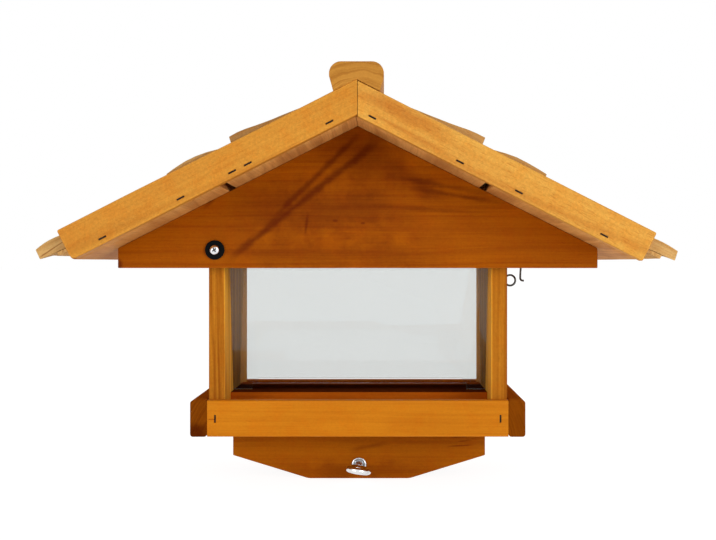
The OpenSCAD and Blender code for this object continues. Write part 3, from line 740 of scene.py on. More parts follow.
def pick(piece: Piece, part: Part, rule: Rule) -> None:
    """Selects edges or faces in edit mode by a rule on the place of their middles."""
    bpy.ops.mesh.select_all(action="DESELECT")
    bpy.ops.mesh.select_mode(type=part.value)
    shape = bmesh.from_edit_mesh(piece.data)
    edges = part is Part.EDGES
    for item in shape.edges if edges else shape.faces:
        middle = (item.verts[0].co + item.verts[1].co) / 2 if edges else item.calc_center_median()
        if rule(middle):
            item.select_set(True)
    shape.select_flush_mode()
    bmesh.update_edit_mesh(piece.data)


def soften(piece: Piece, rule: Rule, width: float, segments: int) -> None:
    """Rounds the edges that a rule names by their middles."""
    with editing(piece):
        pick(piece, Part.EDGES, rule)
        bpy.ops.mesh.bevel(offset=width, segments=segments, affect="EDGES")


def saw(piece: Piece, point: Sequence[float], outward: Sequence[float]) -> None:
    """Saws a piece along a plane and closes the cut.

    Args:
        piece: the piece.
        point: a point of the plane.
        outward: the plane's direction, towards the waste.
    """
    with editing(piece, "SELECT"):
        bpy.ops.mesh.bisect(
            plane_co=point, plane_no=Vector(outward).normalized(), use_fill=True,
            clear_outer=True, threshold=WELD,
        )
        bpy.ops.mesh.select_all(action="SELECT")
        bpy.ops.mesh.normals_make_consistent(inside=False)


def score(piece: Piece, axis: int, places: Sequence[float]) -> None:
    """Scores lines round a piece at places along an axis, so that it can bend there."""
    outward = [1.0 if i == axis else 0.0 for i in range(3)]
    with editing(piece):
        for place in places:
            bpy.ops.mesh.select_all(action="SELECT")
            bpy.ops.mesh.bisect(
                plane_co=[place * part for part in outward], plane_no=outward, threshold=WELD
            )


def modify(piece: Piece, kind: str, **settings: object) -> None:
    """Adds a modifier of a kind, gives it its settings and applies it."""
    modifier = piece.modifiers.new(kind.lower(), kind)
    for name, value in settings.items():
        setattr(modifier, name, value)
    take(piece)
    bpy.ops.object.modifier_apply(modifier=modifier.name)


def ease(piece: Piece, width: float, segments: int = 2, angle: float = 40) -> None:
    """Rounds a piece's edges.

    Args:
        piece: the piece.
        width: how far the rounding reaches.
        segments: its faces across.
        angle: the least angle of an edge that is rounded, in degrees.
    """
    modify(
        piece, "BEVEL", width=width, segments=segments, limit_method="ANGLE",
        angle_limit=math.radians(angle), use_clamp_overlap=True,
    )
    if "edge" not in piece.data.attributes:
        mark(piece, "edge", is_round)


def mark(piece: Piece, name: str, rule: Callable[[bpy.types.MeshPolygon], float]) -> None:
    """Marks the faces of a piece for its finish, which reads the mark by its name."""
    values = piece.data.attributes.new(name, "FLOAT", "FACE").data
    values.foreach_set("value", [float(rule(face)) for face in piece.data.polygons])


def is_round(face: bpy.types.MeshPolygon) -> bool:
    """Tells the faces of a rounded edge, where the stain is rubbed thin."""
    return max(abs(part) for part in face.normal) < 0.985


def hollow(piece: Piece, cutter: Piece) -> None:
    """Cuts a piece with another, which is used up."""
    modify(piece, "BOOLEAN", operation="DIFFERENCE", solver="EXACT", object=cutter)
    bpy.data.objects.remove(cutter, do_unlink=True)


def bore(piece: Piece, radius: float, middle: Point) -> None:
    """Bores a hole along y through a board."""
    clear()
    bpy.ops.mesh.primitive_cylinder_add(
        vertices=48, radius=radius, depth=30 * MM, location=middle, rotation=(QUARTER, 0, 0)
    )
    cutter = bpy.context.object
    settle(cutter)
    hollow(piece, cutter)


def sink_crown(piece: Piece, middle: Point, reach: Point) -> None:
    """Cuts the slot that a staple's crown lies in, half its size given in millimetres."""
    corner = Vector(reach) * MM
    hollow(piece, block("slot", Vector(middle) - corner, Vector(middle) + corner))


def weather(
    piece: Piece, depth: float, grain_size: float, way: str = "NORMAL", group: str = "",
    level: float = 1.0,
) -> None:
    """Wears a piece's faces down a little, by default never outwards.

    Args:
        piece: the piece.
        depth: the deepest wear.
        grain_size: the size of the uneven spots.
        way: the direction of the wear.
        group: the vertices that it reaches, or all.
        level: the texture's value that leaves the face where it is.
    """
    clouds = bpy.data.textures.new(piece.name + "_wear", "CLOUDS")
    clouds.noise_scale = grain_size
    clouds.noise_depth = 2
    modify(
        piece, "DISPLACE", texture=clouds, texture_coords="LOCAL", direction=way,
        mid_level=level, strength=depth, vertex_group=group,
    )
    bpy.data.textures.remove(clouds)


@dataclass(frozen=True)
class Wear:
    """How a board is worn: its rounding, the deepest wear and its spots, in millimetres."""

    rounding: float
    depth: float
    spots: float
    segments: int = 2
    angle: float = 40

    def on(self, piece: Piece) -> None:
        """Rounds a piece's edges and wears its faces."""
        ease(piece, self.rounding * MM, self.segments, self.angle)
        weather(piece, self.depth * MM, self.spots * MM)


def bow(piece: Piece, share: Callable[[Vector], float], rise: float) -> None:
    """Bends a piece up or down.

    Args:
        piece: the piece.
        share: says of a vertex how much of the rise it takes, from 0 to 1.
        rise: the most that a vertex rises along z.
    """
    group = piece.vertex_groups.new(name="bow")
    for vertex in piece.data.vertices:
        group.add([vertex.index], clamped(share(vertex.co)), "REPLACE")
    modify(piece, "DISPLACE", direction="Z", mid_level=0.0, strength=rise, vertex_group="bow")
    piece.vertex_groups.clear()


def smooth(piece: Piece, angle: float = 35) -> Piece:
    """Closes a piece's seams, points its faces outwards and smooths its rounded edges."""
    with editing(piece, "SELECT"):
        bpy.ops.mesh.remove_doubles(threshold=WELD)
        bpy.ops.mesh.normals_make_consistent(inside=False)
    take(piece)
    bpy.ops.object.shade_smooth_by_angle(angle=math.radians(angle))
    return piece


def gather(name: str, pieces: Sequence[Piece]) -> Piece:
    """Joins pieces into one object of separate solids."""
    take(pieces[0])
    for piece in pieces:
        piece.select_set(True)
    bpy.ops.object.join()
    return fresh(name)


def copy(piece: Piece, name: str, matrix: Matrix) -> Piece:
    """Copies a piece, with its own mesh, to another place."""
    twin = piece.copy()
    twin.data = piece.data.copy()
    twin.name = name
    twin.data.name = name
    bpy.context.scene.collection.objects.link(twin)
    move(twin, matrix)
    return twin


def lathe(name: str, outline: Sequence[Pair], faces: int = 40) -> Piece:
    """Turns an outline round the z axis.

    Args:
        name: the piece's name.
        outline: radius and height of each point, from one pole or rim to the other.
        faces: the faces round the piece.

    Returns:
        The turned piece, closed where its outline ends on the axis or meets itself.
    """
    clear()
    bpy.ops.mesh.primitive_plane_add(size=MM, location=(0, 0, 0))
    piece = fresh(name)
    with editing(piece, "SELECT"):
        bpy.ops.mesh.merge(type="CENTER")
        last = outline[0]
        bpy.ops.transform.translate(value=(last[0], 0.0, last[1]))
        for radius, height in outline[1:]:
            bpy.ops.mesh.extrude_region_move(
                TRANSFORM_OT_translate={"value": (radius - last[0], 0.0, height - last[1])}
            )
            last = (radius, height)
        bpy.ops.mesh.select_all(action="SELECT")
        bpy.ops.mesh.spin(steps=faces, angle=2 * math.pi, center=(0, 0, 0), axis=(0, 0, 1))
    return smooth(piece)


def bend_wire(name: str, points: Sequence[Point], radius: float) -> Piece:
    """Bends a round wire along points and gives it as a closed mesh."""
    curve = bpy.data.curves.new(name, "CURVE")
    curve.dimensions = "3D"
    curve.bevel_depth = radius
    curve.bevel_resolution = 3
    curve.use_fill_caps = True
    spline = curve.splines.new("POLY")
    spline.points.add(len(points) - 1)
    for target, point in zip(spline.points, points):
        target.co = (*point, 1.0)
    piece = bpy.data.objects.new(name, curve)
    bpy.context.scene.collection.objects.link(piece)
    take(piece)
    bpy.ops.object.convert(target="MESH")
    return smooth(fresh(name))


def dress(piece: Piece, finish: Material, body: str, slot: str, *nodes: str) -> None:
    """Gives a piece its finish, its body and the CAD nodes that it stands for.

    Args:
        piece: the finished piece.
        finish: its material.
        body: the CAD body that it rides on.
        slot: the name of its material slot; not used.
        nodes: the CAD nodes that it replaces.
    """
    piece.data.materials.clear()
    piece.data.materials.append(finish)
    if nodes:
        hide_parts(*nodes)
    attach(piece, body)
    log.info("%s: %d faces, rides on %s", piece.name, len(piece.data.polygons), body)


# Sub-assemblies


class Side(Enum):
    """The two sides of the feeder, each with the sign of its x."""

    LEFT = -1
    RIGHT = 1


WALL_MID = 114.25 * MM
RAIL_FACE = 111 * MM
RAIL_STAPLE_Z = 56.5 * MM
ROOF_INNER = 185 * MM
ROOF_OUTER = 198 * MM
PIVOT_Z = 191.612 * MM
PITCH = math.radians(27)
RIDGE = 300.365 * MM
RAKE_STAPLES = {Side.LEFT: (24, 92, 105, 148, 213), Side.RIGHT: (16, 89, 138, 209)}


def slope(side: Side) -> Matrix:
    """Gives the move from a slope's frame to the roof.

    Args:
        side: the slope.

    Returns:
        The matrix: x runs down the slope, z is square to the sheathing's top. On the
        left slope y runs the other way.
    """
    turn = Matrix.Rotation(math.pi, 4, "Z") if side is Side.LEFT else Matrix.Identity(4)
    return turn @ Matrix.Translation((0, 0, RIDGE)) @ Matrix.Rotation(PITCH, 4, "Y")


@dataclass
class Assembly:
    """A sub-assembly, which knows the CAD nodes that it may keep as they are."""

    nodes: dict[str, Piece]

    def build(self) -> None:
        """Builds and dresses the sub-assembly."""
        raise NotImplementedError

    def recoat(self, finish: Finish, *names: str) -> None:
        """Gives CAD nodes a finish through their material slots."""
        coat = finish.material()
        for name in names:
            for slot in self.nodes[name].material_slots:
                slot.material = coat
            log.info("%s: CAD node, recoated", name)


@dataclass
class Tray(Assembly):
    """The four rails of the tray and the raised base of the hopper."""

    rail_round: Pair = (1.5 * MM, 2.3 * MM)
    # Up to where, along y, the base's top gets painted shade.
    oiled_to: float = 27 * MM
    crown_reach: Point = (0.75, 1.0, 3.2)
    rail_wear: Wear = Wear(0.4, 0.14, 26)
    base_wear: Wear = Wear(0.7, 0.25, 30)

    def build(self) -> None:
        """Builds and dresses the tray."""
        rail = RAIL.material()
        side_rail = SIDE_RAIL.material()
        for name, way in (("front_rail", -1), ("rear_rail", 1)):
            piece = self._rail(name, 0)
            for side in Side:
                middle = (side.value * WALL_MID, way * RAIL_FACE, RAIL_STAPLE_Z)
                sink_crown(piece, middle, self.crown_reach)
            dress(smooth(piece), rail, "house", "rail_wood", name)
        for name in ("left_rail", "right_rail"):
            dress(smooth(self._rail(name, 1)), side_rail, "house", "side_rail_wood", name)
        low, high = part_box("hopper_base")
        base = block("raised_base", low, high)
        score(base, 0, steps(20, 5))
        # The front part of the base's top, shaded under the roof, is marked for painted shade.
        score(base, 1, [self.oiled_to])
        mark(base, "soil", lambda face: face.normal.z > 0.9 and face.center.y < self.oiled_to)
        self.base_wear.on(base)
        dress(smooth(base), BASE.material(), "house", "keel_wood", "hopper_base")
        self.recoat(FLOOR, "tray_floor")

    def _rail(self, name: str, axis: int) -> Piece:
        """Shapes the rail that stands for a CAD node and lies along an axis."""
        low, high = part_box(name)
        piece = block(name + "_board", low, high)
        middle = (low[axis] + high[axis]) / 2
        soften(piece, lambda m: abs(m[axis] - middle) < NEAR, self.rail_round[axis], 4)
        mark(piece, "edge", is_round)
        span = high[axis] - low[axis]
        score(piece, axis, [low[axis] + span * i / 14 for i in range(1, 14)])
        self.rail_wear.on(piece)
        return piece


@dataclass
class Underside(Assembly):
    """The keels, the post socket and the clamp bolt."""

    keel_half: float = 106 * MM
    foot_half: float = 42.5 * MM
    foot_soft: float = 2 * MM
    end_low: float = 19.5 * MM
    face: float = 50.1 * MM
    bolt_z: float = 11.5 * MM
    bolt_r: float = 3 * MM
    thread_pitch: float = 1.0 * MM
    thread_deep: float = 0.42 * MM
    bolt_lead: float = 0.4 * MM
    bolt_play: float = 0.02 * MM
    neck: float = 20 * MM
    plain: float = 5 * MM
    ring_r: float = 8 * MM
    rod_r: float = 2.75 * MM
    roll: float = math.radians(9)
    tip: float = 18.7 * MM
    sleeve_r: float = 6.2 * MM
    sleeve_l: float = 18 * MM
    sleeve_edge: float = 0.5 * MM
    mouth_r: float = 4.5 * MM
    mouth_deep: float = 2 * MM
    sleeve_play: float = 0.06 * MM
    bore_in: float = 9 * MM
    keel_wear: Wear = Wear(0.6, 0.1, 24, angle=20)

    def build(self) -> None:
        """Builds and dresses the underside."""
        wood = KEEL.material()
        chrome = CHROME.material()
        for name in ("front_keel", "rear_keel"):
            piece = self._keel(name)
            if name == "front_keel":
                bore(piece, self.sleeve_r, (0, -self.face + self.bore_in, self.bolt_z))
            dress(smooth(piece), wood, "house", "keel_wood", name)
        dress(self._sleeve(), chrome, "house", "chrome", "clamp_sleeve")
        dress(self._bolt(), chrome, "clamp_bolt", "chrome", "clamp_bolt")
        self.recoat(SOCKET, "socket_block")
        self.recoat(STEEL, "floor_screws", "underside_screws")

    def _keel(self, name: str) -> Piece:
        """Saws the keel that stands for a CAD node to its outline."""
        low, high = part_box(name)
        piece = block(name + "_board", low, high)
        run = self.keel_half - self.foot_half
        for side in Side:
            saw(piece, (side.value * self.foot_half, 0, 0), (side.value * self.end_low, 0, -run))
        soften(
            piece,
            lambda m: abs(abs(m.x) - self.foot_half) < NEAR and m.z < NEAR
            and abs(m.y - (low.y + high.y) / 2) < NEAR,
            self.foot_soft, 4,
        )
        score(piece, 0, steps(15, 6))
        self.keel_wear.on(piece)
        return piece

    def _sleeve(self) -> Piece:
        """Turns the threaded sleeve that the bolt runs in."""
        bore_r = self.bolt_r + self.sleeve_play
        edge = self.sleeve_edge
        rim, length, mouth = self.sleeve_r, self.sleeve_l, self.mouth_r
        piece = lathe("bolt_sleeve", [
            (bore_r, 0.0), (rim, 0.0), (rim, length - edge), (rim - edge * 0.4, length - edge * 0.3),
            (rim - edge, length), (mouth + edge, length), (mouth, length - edge),
            (mouth, length - self.mouth_deep), (bore_r, length - self.mouth_deep - edge), (bore_r, 0.0),
        ])
        move(piece, stand((0, -self.face + length, self.bolt_z), QUARTER, "X"))
        return piece

    def _bolt(self) -> Piece:
        """Makes the eye bolt: a threaded shank and a bent ring."""
        ring_y = self.face + self.neck + self.ring_r + self.rod_r
        length = ring_y - self.ring_r - self.tip
        lead, pitch = self.bolt_lead, self.thread_pitch
        root = self.bolt_r - self.thread_deep
        crest = self.bolt_r - self.bolt_play
        outline = [(0.0, 0.0), (root - lead, 0.0)]
        turns = int((length - self.plain) / pitch)
        for i in range(turns):
            foot = lead + i * pitch
            outline += [(root, foot), (crest, foot + pitch * 0.42), (crest, foot + pitch * 0.58)]
        end = lead + turns * pitch
        outline += [(root, end), (self.bolt_r, end + 0.8 * MM), (self.bolt_r, length), (0.0, length)]
        shank = lathe("bolt_shank", outline, 28)
        move(shank, stand((0, -self.tip, 0), QUARTER, "X"))
        clear()
        bpy.ops.mesh.primitive_torus_add(
            major_segments=56, minor_segments=24, major_radius=self.ring_r,
            minor_radius=self.rod_r, location=(0, -ring_y, 0),
        )
        ring = bpy.context.object
        settle(ring)
        piece = gather("eye_bolt", [ring, shank])
        move(piece, stand((0, 0, self.bolt_z), self.roll, "Y"))
        return smooth(piece)


@dataclass
class Hopper(Assembly):
    """The two walls, which stay as the CAD has them, and the clear panes."""

    pane_w: float = 222.7 * MM
    pane_t: float = 2 * MM
    pane_l: float = 155.28 * MM
    foot_y: float = 28.5 * MM
    base_top: float = 73 * MM
    lean: float = math.radians(17)
    slot_half: float = 91.75 * MM
    slot_h: float = 5.5 * MM

    def build(self) -> None:
        """Builds and dresses the hopper."""
        self.recoat(WALL, "left_wall", "right_wall")
        acrylic = ACRYLIC.material()
        front = self._pane("front_acrylic")
        lean = stand((0, -self.foot_y, self.base_top), self.lean, "X")
        rear = copy(front, "rear_acrylic", Matrix.Rotation(math.pi, 4, "Z") @ lean)
        move(front, lean)
        for piece, node in ((front, "front_pane"), (rear, "rear_pane")):
            dress(smooth(piece), acrylic, "house", "pane", node)

    def _pane(self, name: str) -> Piece:
        """Cuts one pane, upright at the origin, with its feed slot."""
        half = self.pane_w / 2
        piece = block(name, (-half, 0, 0), (half, self.pane_t, self.pane_l))
        slot = block(
            "slot", (-self.slot_half, -MM, -MM), (self.slot_half, self.pane_t + MM, self.slot_h)
        )
        ease(slot, 1.5 * MM, 3)
        hollow(piece, slot)
        mark(piece, "edge", lambda face: abs(face.normal.y) < 0.98)
        ease(piece, 0.25 * MM, 2, 60)
        return piece


@dataclass
class RoofBoards(Assembly):
    """The gables, the sheathing and the rakes."""

    length: float = 241 * MM
    sheath_t: float = 8.5 * MM
    sheath_end: float = 243 * MM
    upper_w: float = 113.5 * MM
    mitre_over: float = 10 * MM
    foot_round: float = 4 * MM
    front_mitre: float = 1.3 * MM
    right_over: float = 2.2 * MM
    gap: float = 6 * MM
    rake_top: float = 15.3 * MM
    rake_over: float = 12 * MM
    rake_crown: float = 0.9 * MM
    crown_from: float = 50
    crown_run: float = 130
    crown_reach: Point = (3.3, 1.0, 0.75)
    mitre: float = 0.2 * MM
    pivot_r: float = 2.06 * MM
    gable_wear: Wear = Wear(0.8, 0.22, 30, angle=20)
    sheath_wear: Wear = Wear(0.6, 0.2, 30)
    rake_wear: Wear = Wear(1.4, 0.1, 22, segments=3)

    def build(self) -> None:
        """Builds and dresses the roof's boards."""
        self._gables()
        self._sheathing()
        self._rakes()
        self.recoat(STEEL, "sheathing_nails")

    def _gables(self) -> None:
        """Saws the two gables and bores them for the pivot screws."""
        finishes = {"front_gable": GABLE.material(), "rear_gable": REAR_GABLE.material()}
        for name, finish in finishes.items():
            low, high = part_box(name)
            piece = block(name + "_board", low, high)
            for side in Side:
                saw(piece, (0, 0, high.z), (side.value * math.sin(PITCH), 0, math.cos(PITCH)))
            score(piece, 0, steps(24, 7))
            self.gable_wear.on(piece)
            bore(piece, self.pivot_r, (-WALL_MID, (low.y + high.y) / 2, PIVOT_Z))
            dress(smooth(piece), finish, "roof", "gable_wood", name)

    def _mitre(self, piece: Piece, side: Side, middle: float) -> None:
        """Saws off what a board has beyond the mitre at the given x."""
        saw(piece, (middle + side.value * self.mitre, 0, 0), (-side.value, 0, 0))

    def _sheathing(self) -> None:
        """Saws the four sheathing boards."""
        finish = SHEATHING.material()
        spans = {
            "upper": (-self.mitre_over, self.upper_w),
            "lower": (self.upper_w + self.gap, self.sheath_end),
        }
        for side in Side:
            for level, (start, end) in spans.items():
                node = f"{side.name.lower()}_{level}_sheathing"
                corner = (start, -ROOF_INNER, -self.sheath_t)
                piece = block(node + "_board", corner, (end, ROOF_INNER, 0))
                if level == "lower":
                    self._round_foot(piece, end)
                score(piece, 1, steps(26, 6))
                self.sheath_wear.on(piece)
                move(piece, slope(side))
                if level == "upper":
                    self._mitre(piece, side, 0.0)
                dress(smooth(piece), finish, "roof", "sheathing_wood", node)

    def _rakes(self) -> None:
        """Shapes the four rakes with their staple slots."""
        finishes = {
            Side.LEFT: replace(RAKE, name="left_rake_wood", grain=Grain.LEFT_SLOPE).material(),
            Side.RIGHT: replace(RIGHT_RAKE_PAINTED_LIGHTER, name="right_rake_wood").material(),
        }
        for end, place in ((-1, "front"), (1, "rear")):
            for side in Side:
                node = f"{place}_{side.name.lower()}_rake"
                face = end * side.value * ROOF_OUTER
                low_y, high_y = sorted((end * side.value * ROOF_INNER, face))
                tip = self.length + (self.right_over if side is Side.RIGHT else 0.0)
                corner = (-self.rake_over, low_y, -self.sheath_t)
                piece = block(node + "_board", corner, (tip, high_y, self.rake_top))
                score(piece, 0, steps(19, 12, 0))
                cut = Side.LEFT if (side is Side.LEFT) == (end < 0) else Side.RIGHT
                if cut is Side.LEFT:
                    self._round_foot(piece, self.length)
                    bow(piece, self._crown, self.rake_crown)
                self.rake_wear.on(piece)
                for down in RAKE_STAPLES[cut]:
                    sink_crown(piece, (down * MM, face, -self.sheath_t / 2), self.crown_reach)
                move(piece, slope(side))
                self._mitre(piece, side, self.front_mitre if end < 0 else 0.0)
                dress(smooth(piece), finishes[side], "roof", "rake_wood", node)

    def _crown(self, point: Vector) -> float:
        """Gives a point's part of the rise of a rake's top."""
        return (point.x / MM - self.crown_from) / self.crown_run if point.z > 0 else 0.0

    def _round_foot(self, piece: Piece, end: float) -> None:
        """Rounds the lower corner of a board's square end, in the slope's frame."""
        soften(
            piece, lambda m: abs(m.x - end) < NEAR and abs(m.z + self.sheath_t) < NEAR,
            self.foot_round, 5,
        )


@dataclass(frozen=True)
class FrontShingle:
    """How the foremost shingle of a course, which shows most, strays from the rest.

    In millimetres how much shorter it is, its butt's slant in degrees, how much thicker it
    is between the butts, where along it that is, and how far its front corner hangs lower.
    """

    short: float
    slant: float
    rise: float
    skew: float = 1.6
    sag: float = 0.0


FRONT_SHINGLES = {
    Side.LEFT: (
        FrontShingle(2.1, 2.0, 4.2, 1.6, 0.8), FrontShingle(1.0, 4.0, 1.0),
        FrontShingle(0.3, 8.0, 4.4, 1.03), FrontShingle(-2.6, 9.0, 1.0, 5.0),
    ),
    Side.RIGHT: (
        FrontShingle(0.65, 10.0, 2.6, 1.6, 0.8), FrontShingle(1.0, 4.0, 1.0),
        FrontShingle(-0.4, 8.0, 3.4, 1.05), FrontShingle(-4.4, 5.0, 0.8, 5.0),
    ),
}


@dataclass
class Shingles(Assembly):
    """The starter strips, the courses of split shingles and the ridge beam."""

    tilt: float = math.tan(math.radians(5))
    starter_t: float = 3.2 * MM
    starter_w: float = 30 * MM
    starter_end: float = 250.5 * MM
    first_butt: float = 266 * MM
    first_t: float = 6.6 * MM
    exposure: float = 57.5 * MM
    rise: float = 3.4 * MM
    lay: float = 0.15 * MM
    ridge_margin: float = 4 * MM
    count: int = 5
    gap: float = 1.2 * MM
    squeeze: float = 0.14
    wear_step: float = 4 * MM
    swell_w: float = 80 * MM
    thin_by: float = 3 * MM
    right_starter_over: float = 5.5 * MM
    cap_foot: float = 17.4 * MM
    cap_notch: float = 13.5 * MM
    cap_side: float = 11 * MM
    cap_round: float = 9 * MM
    cap_stray: float = 0.6 * MM
    split_round: float = 1.0 * MM
    split_deep: float = 1.5 * MM
    split_spots: float = 4.2 * MM
    split_level: float = 0.55
    starter_wear: Wear = Wear(0.5, 0.4, 14)
    cap_wear: Wear = Wear(0.5, 0.2, 18, angle=50)

    def build(self) -> None:
        """Builds and dresses the roof covering."""
        finishes = {Side.RIGHT: SHINGLE.material(), Side.LEFT: LEFT_SHINGLE_PAINTED_DARKER.material()}
        starter = STARTER.material()
        for side in Side:
            name = side.name.lower()
            dress(self._starter(side), starter, "roof", "shingle_wood", f"{name}_starter")
            for course in range(1, 5):
                piece = self._course(side, course)
                dress(piece, finishes[side], "roof", "shingle_wood", f"{name}_course_{course}")
        dress(self._cap(), CAP.material(), "roof", "cap_wood", "ridge_cap")

    def _starter(self, side: Side) -> Piece:
        """Planes the wedge under the first course."""
        tip = self.starter_end + (self.right_starter_over if side is Side.RIGHT else 0.0)
        corner = (self.starter_end - self.starter_w, -ROOF_INNER, 0)
        piece = block(f"{side.name.lower()}_starter_strip", corner, (tip, ROOF_INNER, self.starter_t))
        saw(piece, (self.starter_end, 0, self.starter_t), (-self.tilt, 0, 1))
        score(piece, 1, steps(15, 12))
        self.starter_wear.on(piece)
        move(piece, slope(side))
        return smooth(piece)

    def _edge(self, number: int, i: int) -> float:
        """Gives the place of an edge between shingles along y."""
        stray = 0.0 if i in (0, self.count) else 0.2 * math.sin(math.radians(137 * i + 71 * number))
        return -ROOF_INNER + 2 * ROOF_INNER * (i + stray) / self.count

    def _course(self, side: Side, course: int) -> Piece:
        """Lays one course of shingles.

        Args:
            side: the slope.
            course: the course's number, from the eave.

        Returns:
            The course as one object of separate shingles.
        """
        number = course + (0 if side is Side.LEFT else 4)
        laid = []
        for i in range(self.count):
            ends = (
                self._edge(number, i) + (0 if i == 0 else self.gap / 2),
                self._edge(number, i + 1) - (0 if i == self.count - 1 else self.gap / 2),
            )
            if side is Side.LEFT:
                ends = (-ends[1], -ends[0])
            seed = number * 7 + i
            if i == 0:
                laid.append(self._front_shingle(course, ends, seed, FRONT_SHINGLES[side][course - 1]))
                continue
            short = (1.15 + 0.5 * math.sin(seed * 2.3)) * 1.4 * MM
            laid.append(self._shingle(course, ends, seed, short, 6 * math.sin(seed * 1.7)))
            if course == 1:
                bow(laid[-1], self._overhang, self.thin_by)
        piece = gather(f"{side.name.lower()}_shingles_{course}", laid)
        move(piece, slope(side))
        return smooth(piece, 50)

    def _lie(self, course: int) -> Point:
        """Gives where a course lies.

        Args:
            course: the course.

        Returns:
            The place of its butts down the slope, their height above the sheathing, and
            the shingles' thickness.
        """
        under = self.starter_t + (self.first_butt - self.starter_end) * self.tilt + self.lay
        deep = self.first_t if course == 1 else self.rise + self.exposure * self.tilt - self.lay
        top = under + self.first_t + (course - 1) * self.rise
        return self.first_butt - (course - 1) * self.exposure, top, deep

    def _front_shingle(self, course: int, ends: Pair, seed: int, look: FrontShingle) -> Piece:
        """Splits the foremost shingle of a course, whose front edge and butt show.

        Args:
            course: the course that it lies in.
            ends: its two edges along y.
            seed: its number.
            look: how it strays from the rest.

        Returns:
            The shingle in the slope's frame.
        """
        piece = self._shingle(course, ends, seed, look.short * MM, look.slant, 0.6)
        self._swell(piece, course, look)
        if course == 1:
            outer = max(ends, key=abs)

            def inward(point: Vector) -> float:
                """Gives the share of the way from the front edge inwards."""
                return min(1.0, abs(outer - point.y) / (self.swell_w * 0.6))

            bow(piece, lambda p: self._overhang(p) * inward(p), self.thin_by)
            bow(piece, lambda p: self._overhang(p) * (1 - inward(p)), -look.sag * MM)
        return piece

    def _overhang(self, point: Vector) -> float:
        """Gives a point's share of the way from the starter's end to the tip, 0 on top."""
        if self._is_upper(1, point):
            return 0.0
        return clamped((point.x - self.starter_end) / (self.first_butt - self.starter_end))

    def _is_upper(self, course: int, point: Vector) -> bool:
        """Tells the points of a shingle's upper half."""
        lap, top, deep = self._lie(course)
        return point.z > top - (lap - point.x) * self.tilt - deep * 0.45

    def _shingle(
        self, course: int, ends: Pair, seed: int, short: float, slant: float, wear: float = 1.0
    ) -> Piece:
        """Splits one shingle.

        The work is done with the length squeezed, so that round wear spots become
        grooves that run along the split once the length is stretched back.

        Args:
            course: the course that it lies in.
            ends: its two edges along y.
            seed: its number, which varies its wear and its tone.
            short: how much shorter than its course it is.
            slant: how far its butt is off square, in degrees, with the lower edge out.
            wear: how much it is worn, compared with the rest.

        Returns:
            The shingle in the slope's frame.
        """
        lap, top, deep = self._lie(course)
        head = max(self.ridge_margin, lap - (top - deep) / self.tilt)
        butt = lap - short
        turn = math.radians(slant)
        tip = butt + max(0.0, deep * math.tan(turn))
        low = top - (lap - head) * self.tilt - deep
        piece = block(f"shingle_{seed}", (head, ends[0], low - MM), (tip + MM, ends[1], top + MM))
        saw(piece, (lap, 0, top), (-self.tilt, 0, 1))
        saw(piece, (lap, 0, top - deep), (self.tilt, 0, -1))
        saw(piece, (butt, 0, top), (math.cos(turn), 0, math.sin(turn)))
        width = ends[1] - ends[0]
        cuts = max(6, round(width / self.wear_step))
        score(piece, 1, [ends[0] + width * i / cuts for i in range(1, cuts)])
        score(piece, 0, [head + (butt - head) * i / 13 for i in range(1, 13)])
        ease(piece, self.split_round * wear, 3, 50)
        upper = piece.vertex_groups.new(name="upper")
        upper.add([v.index for v in piece.data.vertices if self._is_upper(course, v.co)], 1.0, "REPLACE")
        away = seed * 0.9
        move(piece, Matrix.Diagonal((self.squeeze, 1, 1, 1)) @ Matrix.Translation((away, 0, 0)))
        weather(piece, self.split_deep * wear, self.split_spots, "Z", "upper", self.split_level)
        move(piece, Matrix.Translation((-away, 0, 0)) @ Matrix.Diagonal((1 / self.squeeze, 1, 1, 1)))
        piece.vertex_groups.clear()
        mark(piece, "tone", lambda face: 0.5 + 0.5 * math.sin(seed * 5.1 + course))
        return piece

    def _swell(self, piece: Piece, course: int, look: FrontShingle) -> None:
        """Thickens the foremost shingle of a course between the butts, as split wood is."""
        lap = self._lie(course)[0]
        outer = max((v.co.y for v in piece.data.vertices), key=abs)

        def share(point: Vector) -> float:
            """Gives a point's part of the rise."""
            if not self._is_upper(course, point):
                return 0.0
            down = clamped((point.x - lap + self.exposure) / self.exposure)
            inward = abs(outer - point.y) / self.swell_w
            return math.sin(math.pi * down ** look.skew) * max(0.0, 1 - inward)

        bow(piece, share, look.rise * MM)

    def _cap(self) -> Piece:
        """Shapes the ridge beam, notched to sit on the rakes, from a half that is mirrored."""
        low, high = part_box("ridge_cap")
        half = high.x
        piece = block("ridge_beam", (0, low.y, low.z - MM), (half, high.y, high.z))
        side_low = high.z - self.cap_side
        saw(piece, (half, 0, side_low), (side_low - low.z, 0, -(half - self.cap_foot)))
        saw(piece, (0, 0, high.z - self.cap_notch), (-math.sin(PITCH), 0, -math.cos(PITCH)))
        soften(
            piece, lambda m: abs(m.x - half) < NEAR and abs(m.z - high.z) < NEAR, self.cap_round, 10
        )
        with editing(piece):
            pick(piece, Part.FACES, lambda m: abs(m.x) < WELD)
            bpy.ops.mesh.delete(type="ONLY_FACE")
        modify(piece, "MIRROR", use_clip=True)
        score(piece, 1, steps(22, 8))
        self.cap_wear.on(piece)
        move(piece, Matrix.Translation((self.cap_stray, 0, 0)))
        return smooth(piece, 30)


